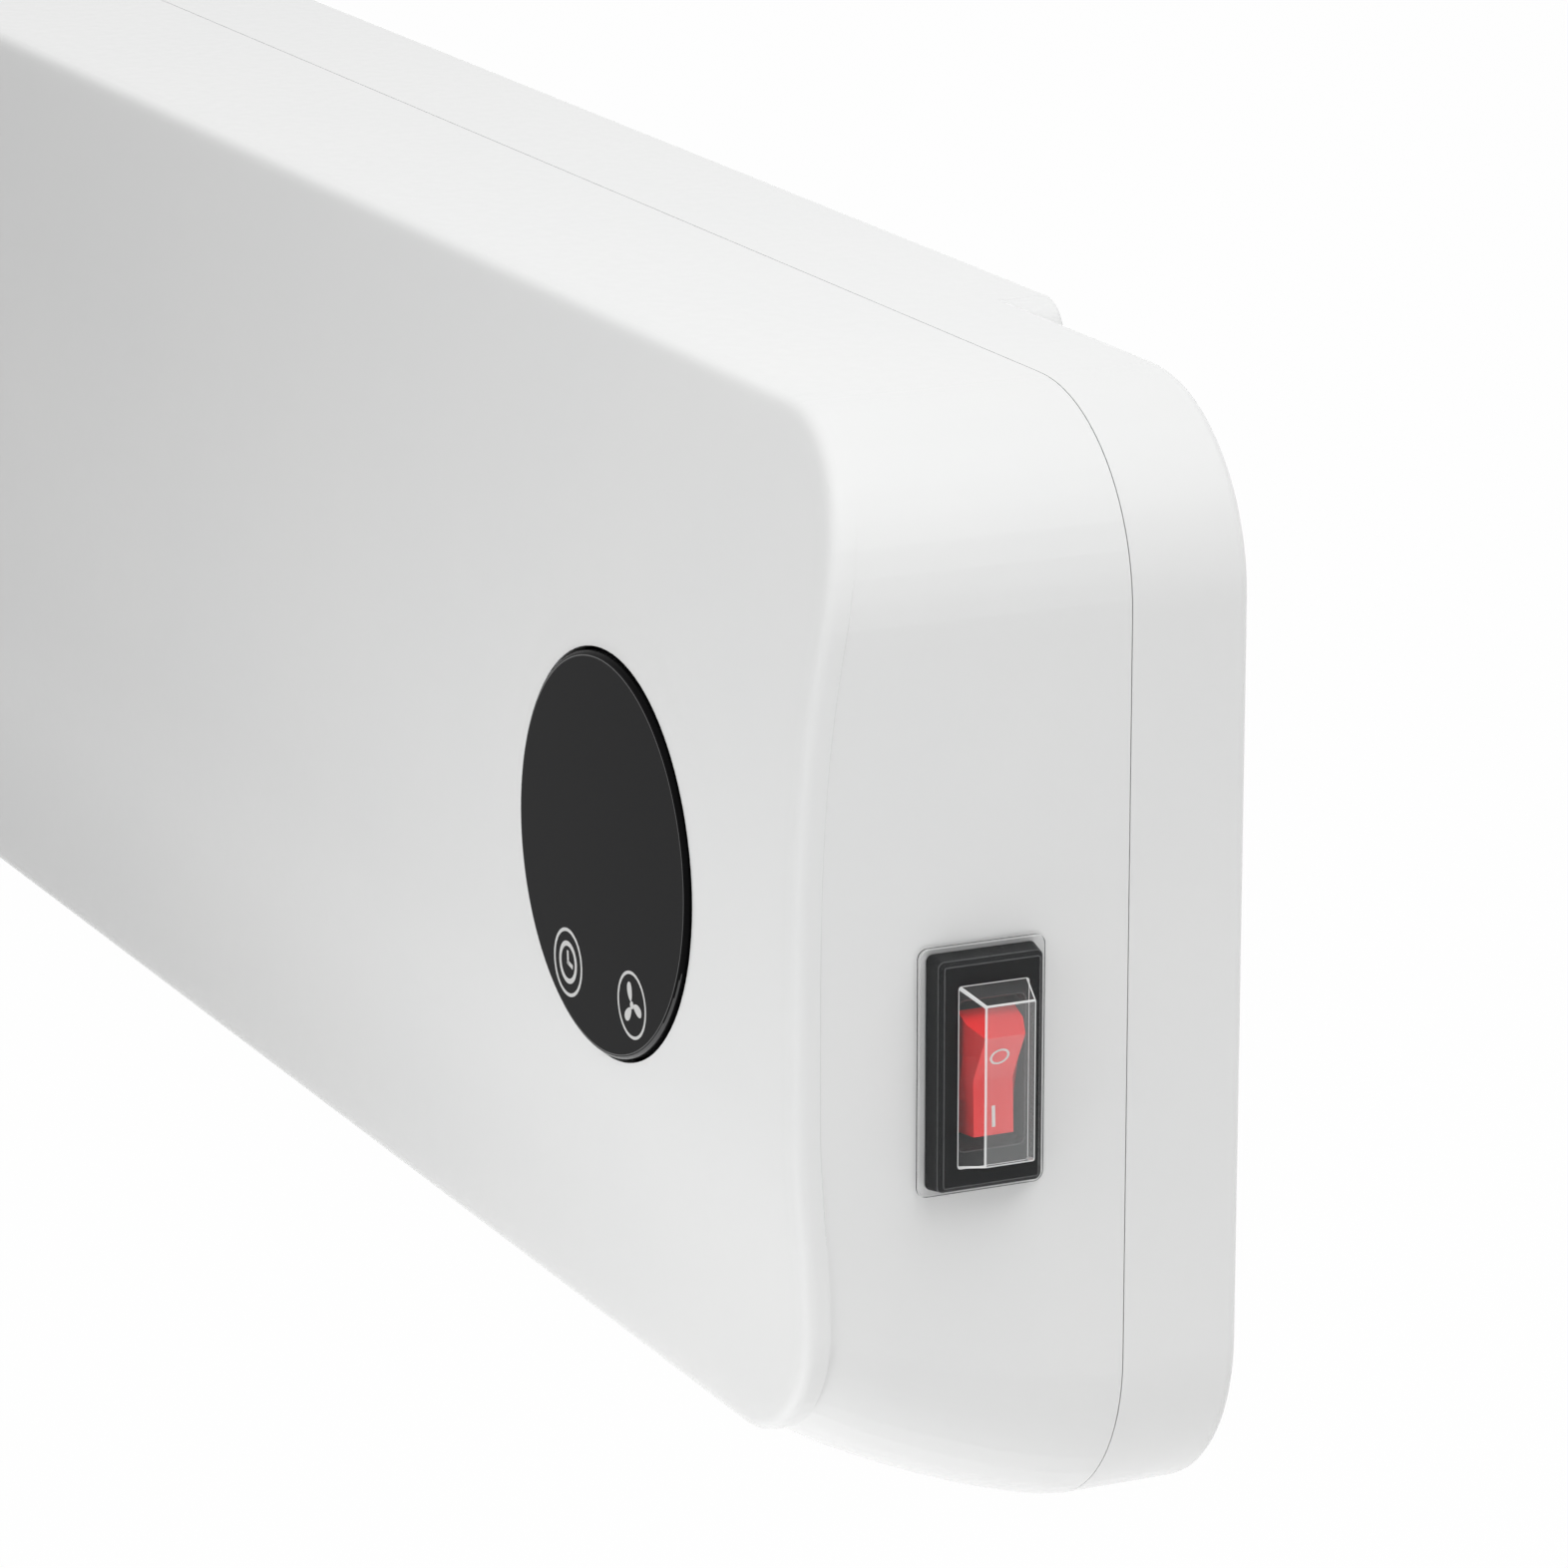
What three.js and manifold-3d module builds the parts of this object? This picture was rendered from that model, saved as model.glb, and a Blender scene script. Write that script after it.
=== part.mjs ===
// Bathroom wall fan heater, in millimetres.
// +Z is up, the front faces -Y and the wall is the plane y = 0. The origin is the middle of the back of
// the raised hanging block. Inside the case group, y = 0 is the seam between the two mouldings and z = 0
// is the lowest line of the case.

import * as THREE from 'three';
import { mergeVertices } from 'three/addons/utils/BufferGeometryUtils.js';
import Module from 'manifold-3d';

const wasm = await Module();
wasm.setup();

// ---------------------------------------------------------------- driving dimensions

// Case
const LENGTH = 540;
const HALF = LENGTH / 2;
const HEIGHT = 197;
const FRONT_DEPTH = 61; // seam to the foremost line of the front
const REAR_DEPTH = 22.2; // seam to the flat back
const WALL = 2.5;
const CORNER_RADIUS = 34; // end corners, seen from the front
const CHIN_CORNER_RADIUS = 22.5; // lower end corners at the front edge
const CHIN_RISE = 24; // how far the underside climbs from seam to front
const CHIN_BEND = 1.3; // 1 would be a straight slope
const EDGE_RADIUS = 4.5; // rounding between front and sides
const BACK_EDGE_RADIUS = 2;
const SEAM = 0.4; // open joint line between the mouldings
const LIP_REACH = 3; // how far the rear moulding laps into the front one
const LIP_WALL = 1.3;
const FIT = 0.3; // clearance between seated pieces

// Front face, seen from the end: a shallow S that leans back towards the top
const CROWN_HEIGHT = 95; // height of the foremost line
const CROWN_DROP = 12; // how far the top edge lies back
const WAIST_HEIGHT = 46; // shallow hollow near the bottom
const WAIST_REACH = 38;
const WAIST_DEPTH = 2;

// Raised block on the back that hangs on two wall screws
const BLOCK_DEPTH = 8.4;
const BLOCK_HEIGHT = 42;
const BLOCK_END_GAP = 83.6; // end of the case to the end of the block
const BLOCK_RADIUS = 7;
const KEYHOLE_SPACING = 200;
const KEYHOLE_RADIUS = 5;
const KEYHOLE_NECK = 5;
const KEYHOLE_RISE = 10;
const PAD_RADIUS = 9;
const PAD_SPACING = 360;
const PAD_HEIGHT = 24; // centre above the lowest line
const PAD_STEM_RADIUS = 2.6;

// Case screws
const SCREW_INSET = 24; // from the ends, top and bottom
const SCREW_SHANK = 1.5;
const SCREW_HEAD = 3.6;
const SCREW_HEAD_DEPTH = 2.4;
const SCREW_WELL_DEPTH = 8;
const SCREW_LENGTH = 22;
const POST_RADIUS = 4.6;

// Fan and duct
const LEFT_BAY = 80; // end of the case to the duct
const RIGHT_BAY = 160;
const DUCT_LEFT = LEFT_BAY - HALF; // inner faces of the duct ends
const DUCT_RIGHT = HALF - RIGHT_BAY;
const DUCT_WALL = 2;
const GUIDE_WALL = 1.5;
const FAN_Y = -18;
const FAN_Z = 104;
const FAN_RADIUS = 28;
const FAN_BLADES = 16;
const FAN_END_GAP = 3;
const FAN_DISC = 2;
const BLADE_WALL = 0.9;
const BLADE_CHORD = 9.5;
const SHAFT_RADIUS = 3;
const GUIDE_FRONT_Y = -50.5;
const GUIDE_REAR_Y = -12.2;
const FAN_TIP_GAP = 2.8;

// Outlet on the underside and its vane
const OUTLET_FRONT_Y = -49.4;
const OUTLET_REAR_Y = -12;
const VANE_PIVOT_Y = -31;
const VANE_PIVOT_Z = 28;
const VANE_WALL = 2;
const VANE_FRONT_GAP = 2.2;
const VANE_REAR_GAP = 0.9;
const VANE_END_GAP = 1.2;
const VANE_PIN_RADIUS = 2;

// Heating elements
const ELEMENT_BOTTOM = 50;
const ELEMENT_HEIGHT = 15;
const ELEMENT_CORE = 4;
const ELEMENT_GAP = 1.2;
const FIN_PITCH = 15;
const FIN_WALL = 0.8;
const HOLDER_WIDTH = 6;

// Intake window in the back
const INTAKE_BOTTOM = 88;
const INTAKE_HEIGHT = 60;
const INTAKE_MARGIN = 6; // from the duct ends
const GRILLE_BORDER = 5;
const GRILLE_SLOT = 6;
const GRILLE_BAR = 6;
const GRILLE_ROWS = 2;

// Display
const DISC_END_GAP = 76.4; // end of the case to the middle of the glass
const DISC_X = HALF - DISC_END_GAP;
const DISC_Z = 109.8;
const DISC_LEAN = 0.7; // degrees, back at the top
const DISC_RADIUS = 35.6;
const DISC_PROUD = 1.2; // at its middle; the case falls away behind its upper half
const DISC_THICKNESS = 5.2;
const DISC_BEVEL = 0.6;
const DISC_LEDGE = 4.5;
const DISC_CUP_WALL = 2.4;
const DIGITS_WIDTH = 22;
const DIGITS_HEIGHT = 16;
const DIGITS_RISE = 5; // middle of the digits above the middle of the glass
const TOUCH_REACH = 15; // middle of the glass to each touch mark, sideways
const TOUCH_DROP = 22.6;
const TOUCH_RADIUS = 3;
const RECEIVER_WIDTH = 5;
const RECEIVER_REACH = 16.5;
const RECEIVER_RISE = 10.5;

// Rocker switch on the right end
const SWITCH_Y = -27.2;
const SWITCH_Z = 89.5;
const COVER_WIDTH = 23;
const COVER_HEIGHT = 42.2;
const COVER_WALL = 0.6;
const COVER_FLANGE = 1.2;
const BEZEL_WIDTH = 21.2; // at the wall
const BEZEL_HEIGHT = 40.4;
const BEZEL_FACE_INSET = 1.3; // each side, between the wall and the face
const BEZEL_DEPTH = 4.6;
const DOME_WIDTH = 14;
const DOME_HEIGHT = 31.6;
const DOME_REACH = 11.5; // case wall to the outer face of the dome
const DOME_TOP_WIDTH = 8.2;
const DOME_TOP_HEIGHT = 27.5;
const ROCKER_WIDTH = 10.4;
const ROCKER_FACE_WIDTH = 7.3;
const ROCKER_HEIGHT = 21.2;
const ROCKER_TIP = 6.05; // pivot to the outer edges of the V
const ROCKER_WAIST = 4.2; // pivot to the bottom of the V
const ROCKER_KEEL = 5;
const ROCKER_TILT = 12.5; // degrees either side of the middle
const SWITCH_BODY_WIDTH = 14.6;
const SWITCH_BODY_HEIGHT = 33;
const SWITCH_BODY_DEPTH = 18;

// Electrical parts in the right-hand bay
const BOARD_END_GAP = 30; // end of the case to the board
const BOARD_LENGTH = 80;
const BOARD_RIGHT = HALF - BOARD_END_GAP;
const BOARD_LEFT = BOARD_RIGHT - BOARD_LENGTH;
const BOARD_BOTTOM = 42;
const BOARD_HEIGHT = 120;
const BOARD_TOP = BOARD_BOTTOM + BOARD_HEIGHT;
const BOARD_WALL = 1.6;
const BOARD_STANDOFF = 7;
const BOARD_SCREW_INSET = 6;
const PART_GAP = 7; // between parts on the board
const RELAY_WIDTH = 19;
const RELAY_DEPTH = 15;
const RELAY_HEIGHT = 15.5;
const CAPACITOR_WIDTH = 18;
const CAPACITOR_DEPTH = 12;
const CAPACITOR_HEIGHT = 8;
const MODULE_WIDTH = 34;
const MODULE_DEPTH = 15;
const MODULE_HEIGHT = 20;
const TERMINAL_WIDTH = 48;
const TERMINAL_DEPTH = 12;
const TERMINAL_HEIGHT = 14;
const TERMINAL_WAYS = 5;
const TERMINAL_WAY = 4;
const MOTOR_GAP = 8; // duct end to the stack
const MOTOR_STACK = 16;
const MOTOR_X = DUCT_RIGHT + MOTOR_GAP + MOTOR_STACK / 2;
const MOTOR_WIDTH = 48;
const ROTOR_RADIUS = 14;
const BRACKET_WALL = 2;
const BRACKET_HEIGHT = 18;
const BRACKET_HUB_RADIUS = 7.5;
const BRACKET_HUB_REACH = 6;
const GLAND_END_GAP = 65; // end of the case to the cord's way in
const GLAND_X = HALF - GLAND_END_GAP;
const GLAND_BACK_GAP = 6.9; // inside of the back to the cord's way in
const GLAND_Y = REAR_DEPTH - WALL - GLAND_BACK_GAP;
const GLAND_RADIUS = 5;

// ---------------------------------------------------------------- shared forms

const FAN_LEFT = DUCT_LEFT + FAN_END_GAP;
const FAN_RIGHT = DUCT_RIGHT - FAN_END_GAP;
const X = new THREE.Vector3(1, 0, 0);
const Y = new THREE.Vector3(0, 1, 0);
const Z = new THREE.Vector3(0, 0, 1);

const heater = new THREE.Group();
const caseGroup = new THREE.Group();
caseGroup.position.set(0, -(REAR_DEPTH + BLOCK_DEPTH), -(HEIGHT - BLOCK_HEIGHT / 2));
heater.add(caseGroup);

const finish = (color, roughness, metalness = 0) => new THREE.MeshStandardMaterial({ color, roughness, metalness });
const whitePlastic = () => finish(0xeeeeec, 0.22);
const greyPlastic = () => finish(0xb9bab8, 0.5);
const blackPlastic = () => finish(0x1d1d1e, 0.45);
const steel = () => finish(0xb8bcc0, 0.35, 1);
const aluminium = () => finish(0xc9ccd0, 0.4, 1);
const brass = () => finish(0xc8a24a, 0.35, 1);
const rubber = () => finish(0x2b2b2b, 0.85);
const fibreBoard = () => finish(0x1f5c37, 0.6);

function piece(name, geometry, material, parent = caseGroup) {
  const mesh = new THREE.Mesh(geometry, material);
  mesh.name = name;
  parent.add(mesh);
  return mesh;
}

// Closed solid from a geometry whose seams still have doubled vertices.
function solid(geometry) {
  const bare = geometry.clone();
  bare.deleteAttribute('normal');
  bare.deleteAttribute('uv');
  const merged = mergeVertices(bare, 1e-4);
  const index = [];
  const source = merged.index.array;
  for (let i = 0; i < source.length; i += 3) {
    const [a, b, c] = [source[i], source[i + 1], source[i + 2]];
    if (a !== b && b !== c && c !== a) index.push(a, b, c);
  }
  const vertProperties = new Float32Array(merged.attributes.position.array);
  return new wasm.Manifold(new wasm.Mesh({ numProp: 3, vertProperties, triVerts: new Uint32Array(index) }));
}

function geometryOf(manifold) {
  const mesh = manifold.getMesh();
  const geometry = new THREE.BufferGeometry();
  geometry.setAttribute('position', new THREE.BufferAttribute(new Float32Array(mesh.vertProperties), 3));
  geometry.setIndex(new THREE.BufferAttribute(new Uint32Array(mesh.triVerts), 1));
  geometry.computeVertexNormals();
  return geometry;
}

// Joins every geometry in adds and cuts every geometry in cuts.
function combine(adds, cuts = []) {
  let body = solid(adds[0]);
  for (const add of adds.slice(1)) body = body.add(solid(add));
  for (const cut of cuts) body = body.subtract(solid(cut));
  return geometryOf(body);
}

// Skin over a row of closed rings; every ring has its points in mirrored pairs, so the end caps are ladders.
function loft(rings) {
  const count = rings[0].length;
  const position = rings.flat().flatMap((p) => [p.x, p.y, p.z]);
  const index = [];
  for (let r = 0; r + 1 < rings.length; r += 1) {
    for (let i = 0; i < count; i += 1) {
      const j = (i + 1) % count;
      const [a, b] = [r * count, (r + 1) * count];
      index.push(a + i, a + j, b + i, a + j, b + j, b + i);
    }
  }
  const last = (rings.length - 1) * count;
  for (let i = 0; i + 1 < count / 2; i += 1) {
    const [j, k, l] = [i + 1, count - 2 - i, count - 1 - i];
    index.push(last + i, last + j, last + k, last + i, last + k, last + l);
    index.push(i, k, j, i, l, k);
  }
  const geometry = new THREE.BufferGeometry();
  geometry.setAttribute('position', new THREE.Float32BufferAttribute(position, 3));
  geometry.setIndex(index);
  return facingOut(geometry);
}

function facingOut(geometry) {
  const p = geometry.attributes.position;
  const index = geometry.index.array;
  const [a, b, c] = [new THREE.Vector3(), new THREE.Vector3(), new THREE.Vector3()];
  let volume = 0;
  for (let i = 0; i < index.length; i += 3) {
    a.fromBufferAttribute(p, index[i]);
    b.fromBufferAttribute(p, index[i + 1]);
    c.fromBufferAttribute(p, index[i + 2]);
    volume += a.dot(b.cross(c));
  }
  if (volume < 0) {
    for (let i = 0; i < index.length; i += 3) [index[i], index[i + 1]] = [index[i + 1], index[i]];
  }
  return geometry;
}

// Ring of a rounded rectangle in X and Z, from its lower right up and round; depth(z, x) gives each y.
function roundedRing({ right, bottom, top, lowRadius, highRadius = lowRadius, depth, arcs = 5, levels = 1 }) {
  const half = [];
  const rise = bottom + lowRadius;
  for (let i = 0; i <= arcs; i += 1) {
    const t = (-Math.PI / 2) * (1 - i / arcs);
    half.push([right - lowRadius + lowRadius * Math.cos(t), rise + lowRadius * Math.sin(t)]);
  }
  const fall = top - highRadius;
  for (let i = 1; i < levels; i += 1) half.push([right, rise + ((fall - rise) * i) / levels]);
  for (let i = 0; i <= arcs; i += 1) {
    const t = (Math.PI / 2) * (i / arcs);
    half.push([right - highRadius + highRadius * Math.cos(t), fall + highRadius * Math.sin(t)]);
  }
  const mirrored = half.slice().reverse().map(([x, z]) => [-x, z]);
  return half.concat(mirrored).map(([x, z]) => new THREE.Vector3(x, depth(z), z));
}

function extrude(shape, depth, steps) {
  return new THREE.ExtrudeGeometry(shape, { depth, bevelEnabled: false, curveSegments: steps });
}

// A flat outline pushed along one axis. Its own axes are Y and Z along X, X and Z along Y, X and Y along Z.
function alongX(shape, from, to, steps = 12) {
  const turn = new THREE.Matrix4().makeBasis(Y, Z, X);
  return extrude(shape, to - from, steps).applyMatrix4(turn).translate(from, 0, 0);
}

function alongY(shape, from, to, steps = 12) {
  const turn = new THREE.Matrix4().makeBasis(X, Z, Y.clone().negate());
  return extrude(shape, to - from, steps).applyMatrix4(turn).translate(0, to, 0);
}

function alongZ(shape, from, to, steps = 12) {
  return extrude(shape, to - from, steps).translate(0, 0, from);
}

function polygon(points) {
  return new THREE.Shape(points.map(([u, v]) => new THREE.Vector2(u, v)));
}

function rectangle(u0, u1, v0, v1) {
  return polygon([[u0, v0], [u1, v0], [u1, v1], [u0, v1]]);
}

function circle(u, v, radius) {
  return new THREE.Shape().absarc(u, v, radius, 0, Math.PI * 2);
}

function box(x0, x1, y0, y1, z0, z1) {
  return new THREE.BoxGeometry(x1 - x0, y1 - y0, z1 - z0).translate((x0 + x1) / 2, (y0 + y1) / 2, (z0 + z1) / 2);
}

function roundedRectangle(u0, u1, v0, v1, radius) {
  const shape = new THREE.Shape();
  shape.absarc(u1 - radius, v0 + radius, radius, -Math.PI / 2, 0);
  shape.absarc(u1 - radius, v1 - radius, radius, 0, Math.PI / 2);
  shape.absarc(u0 + radius, v1 - radius, radius, Math.PI / 2, Math.PI);
  shape.absarc(u0 + radius, v0 + radius, radius, Math.PI, Math.PI * 1.5);
  return shape;
}

// Outline of a bent sheet of even thickness that follows a row of points.
function sheet(points, thickness) {
  const path = points.map(([u, v]) => new THREE.Vector2(u, v));
  const side = (sign) => path.map((p, i) => {
    const before = path[Math.max(i - 1, 0)];
    const after = path[Math.min(i + 1, path.length - 1)];
    const along = after.clone().sub(before).normalize();
    return [p.x - along.y * sign * thickness / 2, p.y + along.x * sign * thickness / 2];
  });
  return polygon(side(1).concat(side(-1).reverse()));
}

// Turned piece: profile of [radius, height] pairs, standing along +Z.
function turned(profile, steps = 24) {
  const points = profile.map(([r, h]) => new THREE.Vector2(r, h));
  return new THREE.LatheGeometry(points, steps).applyMatrix4(new THREE.Matrix4().makeBasis(X, Z, Y.clone().negate()));
}

function turnedTo(geometry, axis) {
  const turn = new THREE.Quaternion().setFromUnitVectors(Z, axis);
  return geometry.applyQuaternion(turn);
}

// ---------------------------------------------------------------- form of the case

function faceY(z) {
  const crown = CROWN_DROP * (Math.max(z - CROWN_HEIGHT, 0) / (HEIGHT - CROWN_HEIGHT)) ** 2;
  const across = Math.min(Math.abs(z - WAIST_HEIGHT) / WAIST_REACH, 1);
  const waist = WAIST_DEPTH * Math.cos((Math.PI / 2) * across) ** 2;
  return -FRONT_DEPTH + crown + waist;
}

const CHIN_DEPTH = -faceY(CHIN_RISE) - EDGE_RADIUS; // seam to the start of the front edge, at the bottom

function chinZ(y) {
  return CHIN_RISE * Math.min(Math.max(-y / CHIN_DEPTH, 0), 1) ** CHIN_BEND;
}

// Body of the front moulding drawn in from its outside by inset, and closed at the seam side at y = start.
function frontForm(inset, start, fine = true) {
  const radius = Math.max(EDGE_RADIUS - inset, 0.5);
  const crease = (z) => faceY(z) + inset + radius;
  const ring = (share, shrink, back, low) => roundedRing({
    right: HALF - inset - shrink,
    bottom: CHIN_RISE * share ** CHIN_BEND + inset + shrink,
    top: HEIGHT - inset - shrink,
    lowRadius: CORNER_RADIUS + (CHIN_CORNER_RADIUS - CORNER_RADIUS) * low - inset - shrink,
    highRadius: CORNER_RADIUS - inset - shrink,
    depth: (z) => start + (crease(z) - start) * share - back,
    arcs: fine ? 5 : 4,
    levels: fine ? 9 : 6,
  });
  const shares = fine ? [0, 0.15, 0.35, 0.55, 0.75, 0.9, 1] : [0, 0.25, 0.5, 0.75, 1];
  const rings = shares.map((share) => ring(share, 0, 0, share));
  for (const degrees of fine ? [30, 60, 90] : [45, 90]) {
    const angle = THREE.MathUtils.degToRad(degrees);
    rings.push(ring(1, radius * (1 - Math.cos(angle)), radius * Math.sin(angle), 1));
  }
  return loft(rings);
}

// The glass stands nearly upright, where the front face behind it already leans back.
const DISC_SLOPE = THREE.MathUtils.degToRad(DISC_LEAN);
const DISC_FACE_Y = faceY(DISC_Z);

// Moves a geometry that stands along +Z, out of the display, to its place in the case.
function inDisplay(geometry) {
  const outward = new THREE.Vector3(0, -Math.cos(DISC_SLOPE), Math.sin(DISC_SLOPE));
  const upward = new THREE.Vector3(0, Math.sin(DISC_SLOPE), Math.cos(DISC_SLOPE));
  const place = new THREE.Matrix4().makeBasis(X, upward, outward);
  place.setPosition(DISC_X, DISC_FACE_Y, DISC_Z);
  return geometry.applyMatrix4(place);
}

function screwPlaces() {
  const places = [];
  for (const x of [-HALF + SCREW_INSET, HALF - SCREW_INSET]) {
    for (const z of [SCREW_INSET, HEIGHT - SCREW_INSET]) places.push([x, z]);
  }
  return places;
}

const OUTLET_LEFT = DUCT_LEFT;
const OUTLET_RIGHT = DUCT_RIGHT;
const CUP_RADIUS = DISC_RADIUS + FIT + DISC_CUP_WALL;
const CUP_DEPTH = DISC_THICKNESS - DISC_PROUD + FIT + DISC_LEDGE;

function frontHousing() {
  const adds = [];
  const cuts = [];
  const shell = combine([frontForm(0, -SEAM / 2)], [frontForm(WALL, SEAM, false)]);
  const ledge = DISC_THICKNESS - DISC_PROUD + FIT;
  const within = solid(frontForm(WALL / 2, -SEAM / 2, false));
  const cup = inDisplay(alongZ(circle(0, 0, CUP_RADIUS), -CUP_DEPTH, 0, 32));
  adds.push(geometryOf(solid(cup).intersect(within)));
  for (const [x, z] of screwPlaces()) {
    const post = alongY(circle(x, z, POST_RADIUS), -FRONT_DEPTH, -SEAM / 2, 8);
    adds.push(geometryOf(solid(post).intersect(within)));
    cuts.push(alongY(circle(x, z, SCREW_SHANK + FIT), -SCREW_LENGTH, 1, 8));
  }
  cuts.push(inDisplay(alongZ(circle(0, 0, DISC_RADIUS + FIT), -ledge, 12, 32)));
  cuts.push(inDisplay(alongZ(circle(0, 0, DISC_RADIUS - DISC_LEDGE), -CUP_DEPTH - 2, 12, 24)));
  cuts.push(box(OUTLET_LEFT, OUTLET_RIGHT, OUTLET_FRONT_Y, OUTLET_REAR_Y, -2, CHIN_RISE + WALL));
  const [halfWidth, halfHeight] = [SWITCH_BODY_WIDTH / 2 + FIT, SWITCH_BODY_HEIGHT / 2 + FIT];
  cuts.push(box(
    HALF - WALL * 2, HALF + 2, SWITCH_Y - halfWidth, SWITCH_Y + halfWidth, SWITCH_Z - halfHeight, SWITCH_Z + halfHeight,
  ));
  piece('front_housing', combine([shell, ...adds], cuts), whitePlastic());
}

function flatRing(y, shrink) {
  return roundedRing({
    right: HALF - shrink,
    bottom: shrink,
    top: HEIGHT - shrink,
    lowRadius: CORNER_RADIUS - shrink,
    depth: () => y,
  });
}

function blockRing(y, shrink) {
  return roundedRing({
    right: HALF - BLOCK_END_GAP - shrink,
    bottom: HEIGHT - BLOCK_HEIGHT + shrink,
    top: HEIGHT - shrink,
    lowRadius: Math.max(BLOCK_RADIUS - shrink, 1),
    depth: () => y,
    arcs: 4,
  });
}

function keyhole(x, from, to) {
  const z = HEIGHT - BLOCK_HEIGHT / 2 - KEYHOLE_RISE / 2;
  const neck = KEYHOLE_NECK / 2;
  const shape = new THREE.Shape();
  const meet = Math.asin(neck / KEYHOLE_RADIUS);
  shape.absarc(x, z, KEYHOLE_RADIUS, Math.PI / 2 + meet, Math.PI * 2.5 - meet);
  shape.absarc(x, z + KEYHOLE_RISE, neck, 0, Math.PI);
  return alongY(shape, from, to, 8);
}

function rearHousing() {
  const back = REAR_DEPTH + BLOCK_DEPTH;
  const edge = BACK_EDGE_RADIUS;
  const adds = [
    loft([flatRing(REAR_DEPTH, edge), flatRing(REAR_DEPTH - edge * 0.3, edge * 0.3), flatRing(REAR_DEPTH - edge, 0),
      flatRing(SEAM / 2, 0)]),
    loft([blockRing(back, 1), blockRing(back - 1, 0), blockRing(REAR_DEPTH - edge - 1, 0)]),
  ];
  const hollow = [
    loft([flatRing(REAR_DEPTH - WALL, WALL), flatRing(-1, WALL)]),
    loft([blockRing(back - WALL, WALL), blockRing(REAR_DEPTH - WALL - 1, WALL)]),
  ];
  const shell = combine(adds, hollow);

  // A lip behind the joint line laps inside the front moulding.
  const root = loft([flatRing(6, WALL - 0.2), flatRing(SEAM / 2, WALL - 0.2)]);
  const tongue = loft([flatRing(1, WALL + FIT), flatRing(-LIP_REACH, WALL + FIT)]);
  const hollowLip = loft([flatRing(7, WALL + FIT + LIP_WALL), flatRing(-LIP_REACH - 1, WALL + FIT + LIP_WALL)]);
  const inFront = geometryOf(solid(tongue).intersect(solid(frontForm(WALL + FIT, SEAM, false))));
  const lip = combine([root, inFront], [hollowLip]);

  const posts = [];
  const holes = [];
  for (const [x, z] of screwPlaces()) {
    posts.push(alongY(circle(x, z, SCREW_HEAD + FIT + 2), SEAM / 2, REAR_DEPTH - WALL / 2, 10));
    holes.push(alongY(circle(x, z, SCREW_SHANK + FIT), -1, REAR_DEPTH + 1, 8));
    holes.push(alongY(circle(x, z, SCREW_HEAD + FIT), REAR_DEPTH - SCREW_WELL_DEPTH, REAR_DEPTH + 1, 12));
  }
  for (const [x, z] of boardScrewPlaces()) {
    const front = REAR_DEPTH - WALL - BOARD_STANDOFF;
    posts.push(alongY(circle(x, z, 3.4), front, REAR_DEPTH - WALL / 2, 8));
    holes.push(alongY(circle(x, z, 1.2 + FIT), front - 1, front + 6, 6));
  }
  for (const x of [-PAD_SPACING / 2, PAD_SPACING / 2]) {
    holes.push(alongY(circle(x, PAD_HEIGHT, PAD_STEM_RADIUS + FIT), REAR_DEPTH - WALL - 1, REAR_DEPTH + 1, 12));
  }
  for (const x of [-KEYHOLE_SPACING / 2, KEYHOLE_SPACING / 2]) holes.push(keyhole(x, back - WALL - 1, back + 1));
  holes.push(box(
    intakeLeft(), intakeRight(), REAR_DEPTH - WALL - 1, REAR_DEPTH + 1, INTAKE_BOTTOM, INTAKE_BOTTOM + INTAKE_HEIGHT,
  ));
  holes.push(alongZ(circle(GLAND_X, GLAND_Y, GLAND_RADIUS + FIT), -1, WALL + 3, 12));
  piece('rear_housing', combine([shell, lip, ...posts], holes), whitePlastic());
}

function intakeLeft() {
  return DUCT_LEFT + INTAKE_MARGIN;
}

function intakeRight() {
  return DUCT_RIGHT - INTAKE_MARGIN;
}

// Plate of upright slots that fills the intake window flush with the back.
function intakeGrille() {
  const [left, right] = [intakeLeft() + FIT, intakeRight() - FIT];
  const [bottom, top] = [INTAKE_BOTTOM + FIT, INTAKE_BOTTOM + INTAKE_HEIGHT - FIT];
  const pitch = GRILLE_SLOT + GRILLE_BAR;
  const count = Math.floor((right - left - 2 * GRILLE_BORDER + GRILLE_BAR) / pitch);
  const first = (left + right) / 2 - (count * pitch - GRILLE_BAR) / 2;
  const tall = (top - bottom - GRILLE_BORDER * (GRILLE_ROWS + 1)) / GRILLE_ROWS;
  const slots = [];
  for (let row = 0; row < GRILLE_ROWS; row += 1) {
    const low = bottom + GRILLE_BORDER + row * (tall + GRILLE_BORDER);
    for (let i = 0; i < count; i += 1) {
      const x = first + i * pitch;
      slots.push(box(x, x + GRILLE_SLOT, REAR_DEPTH - WALL - 1, REAR_DEPTH + 1, low, low + tall));
    }
  }
  const plate = box(left, right, REAR_DEPTH - WALL, REAR_DEPTH, bottom, top);
  piece('intake_grille', combine([plate], slots), whitePlastic());
}

function caseScrews() {
  const tip = REAR_DEPTH - SCREW_WELL_DEPTH + FIT;
  screwPlaces().forEach(([x, z], i) => {
    const screw = turned([
      [0, -SCREW_LENGTH], [SCREW_SHANK, 1.5 - SCREW_LENGTH], [SCREW_SHANK, 0], [SCREW_HEAD, 0],
      [SCREW_HEAD, SCREW_HEAD_DEPTH * 0.6], [SCREW_HEAD * 0.6, SCREW_HEAD_DEPTH], [0, SCREW_HEAD_DEPTH],
    ], 8);
    piece(`case_screw_${i + 1}`, turnedTo(screw, Y), steel()).position.set(x, tip, z);
  });
}

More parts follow.
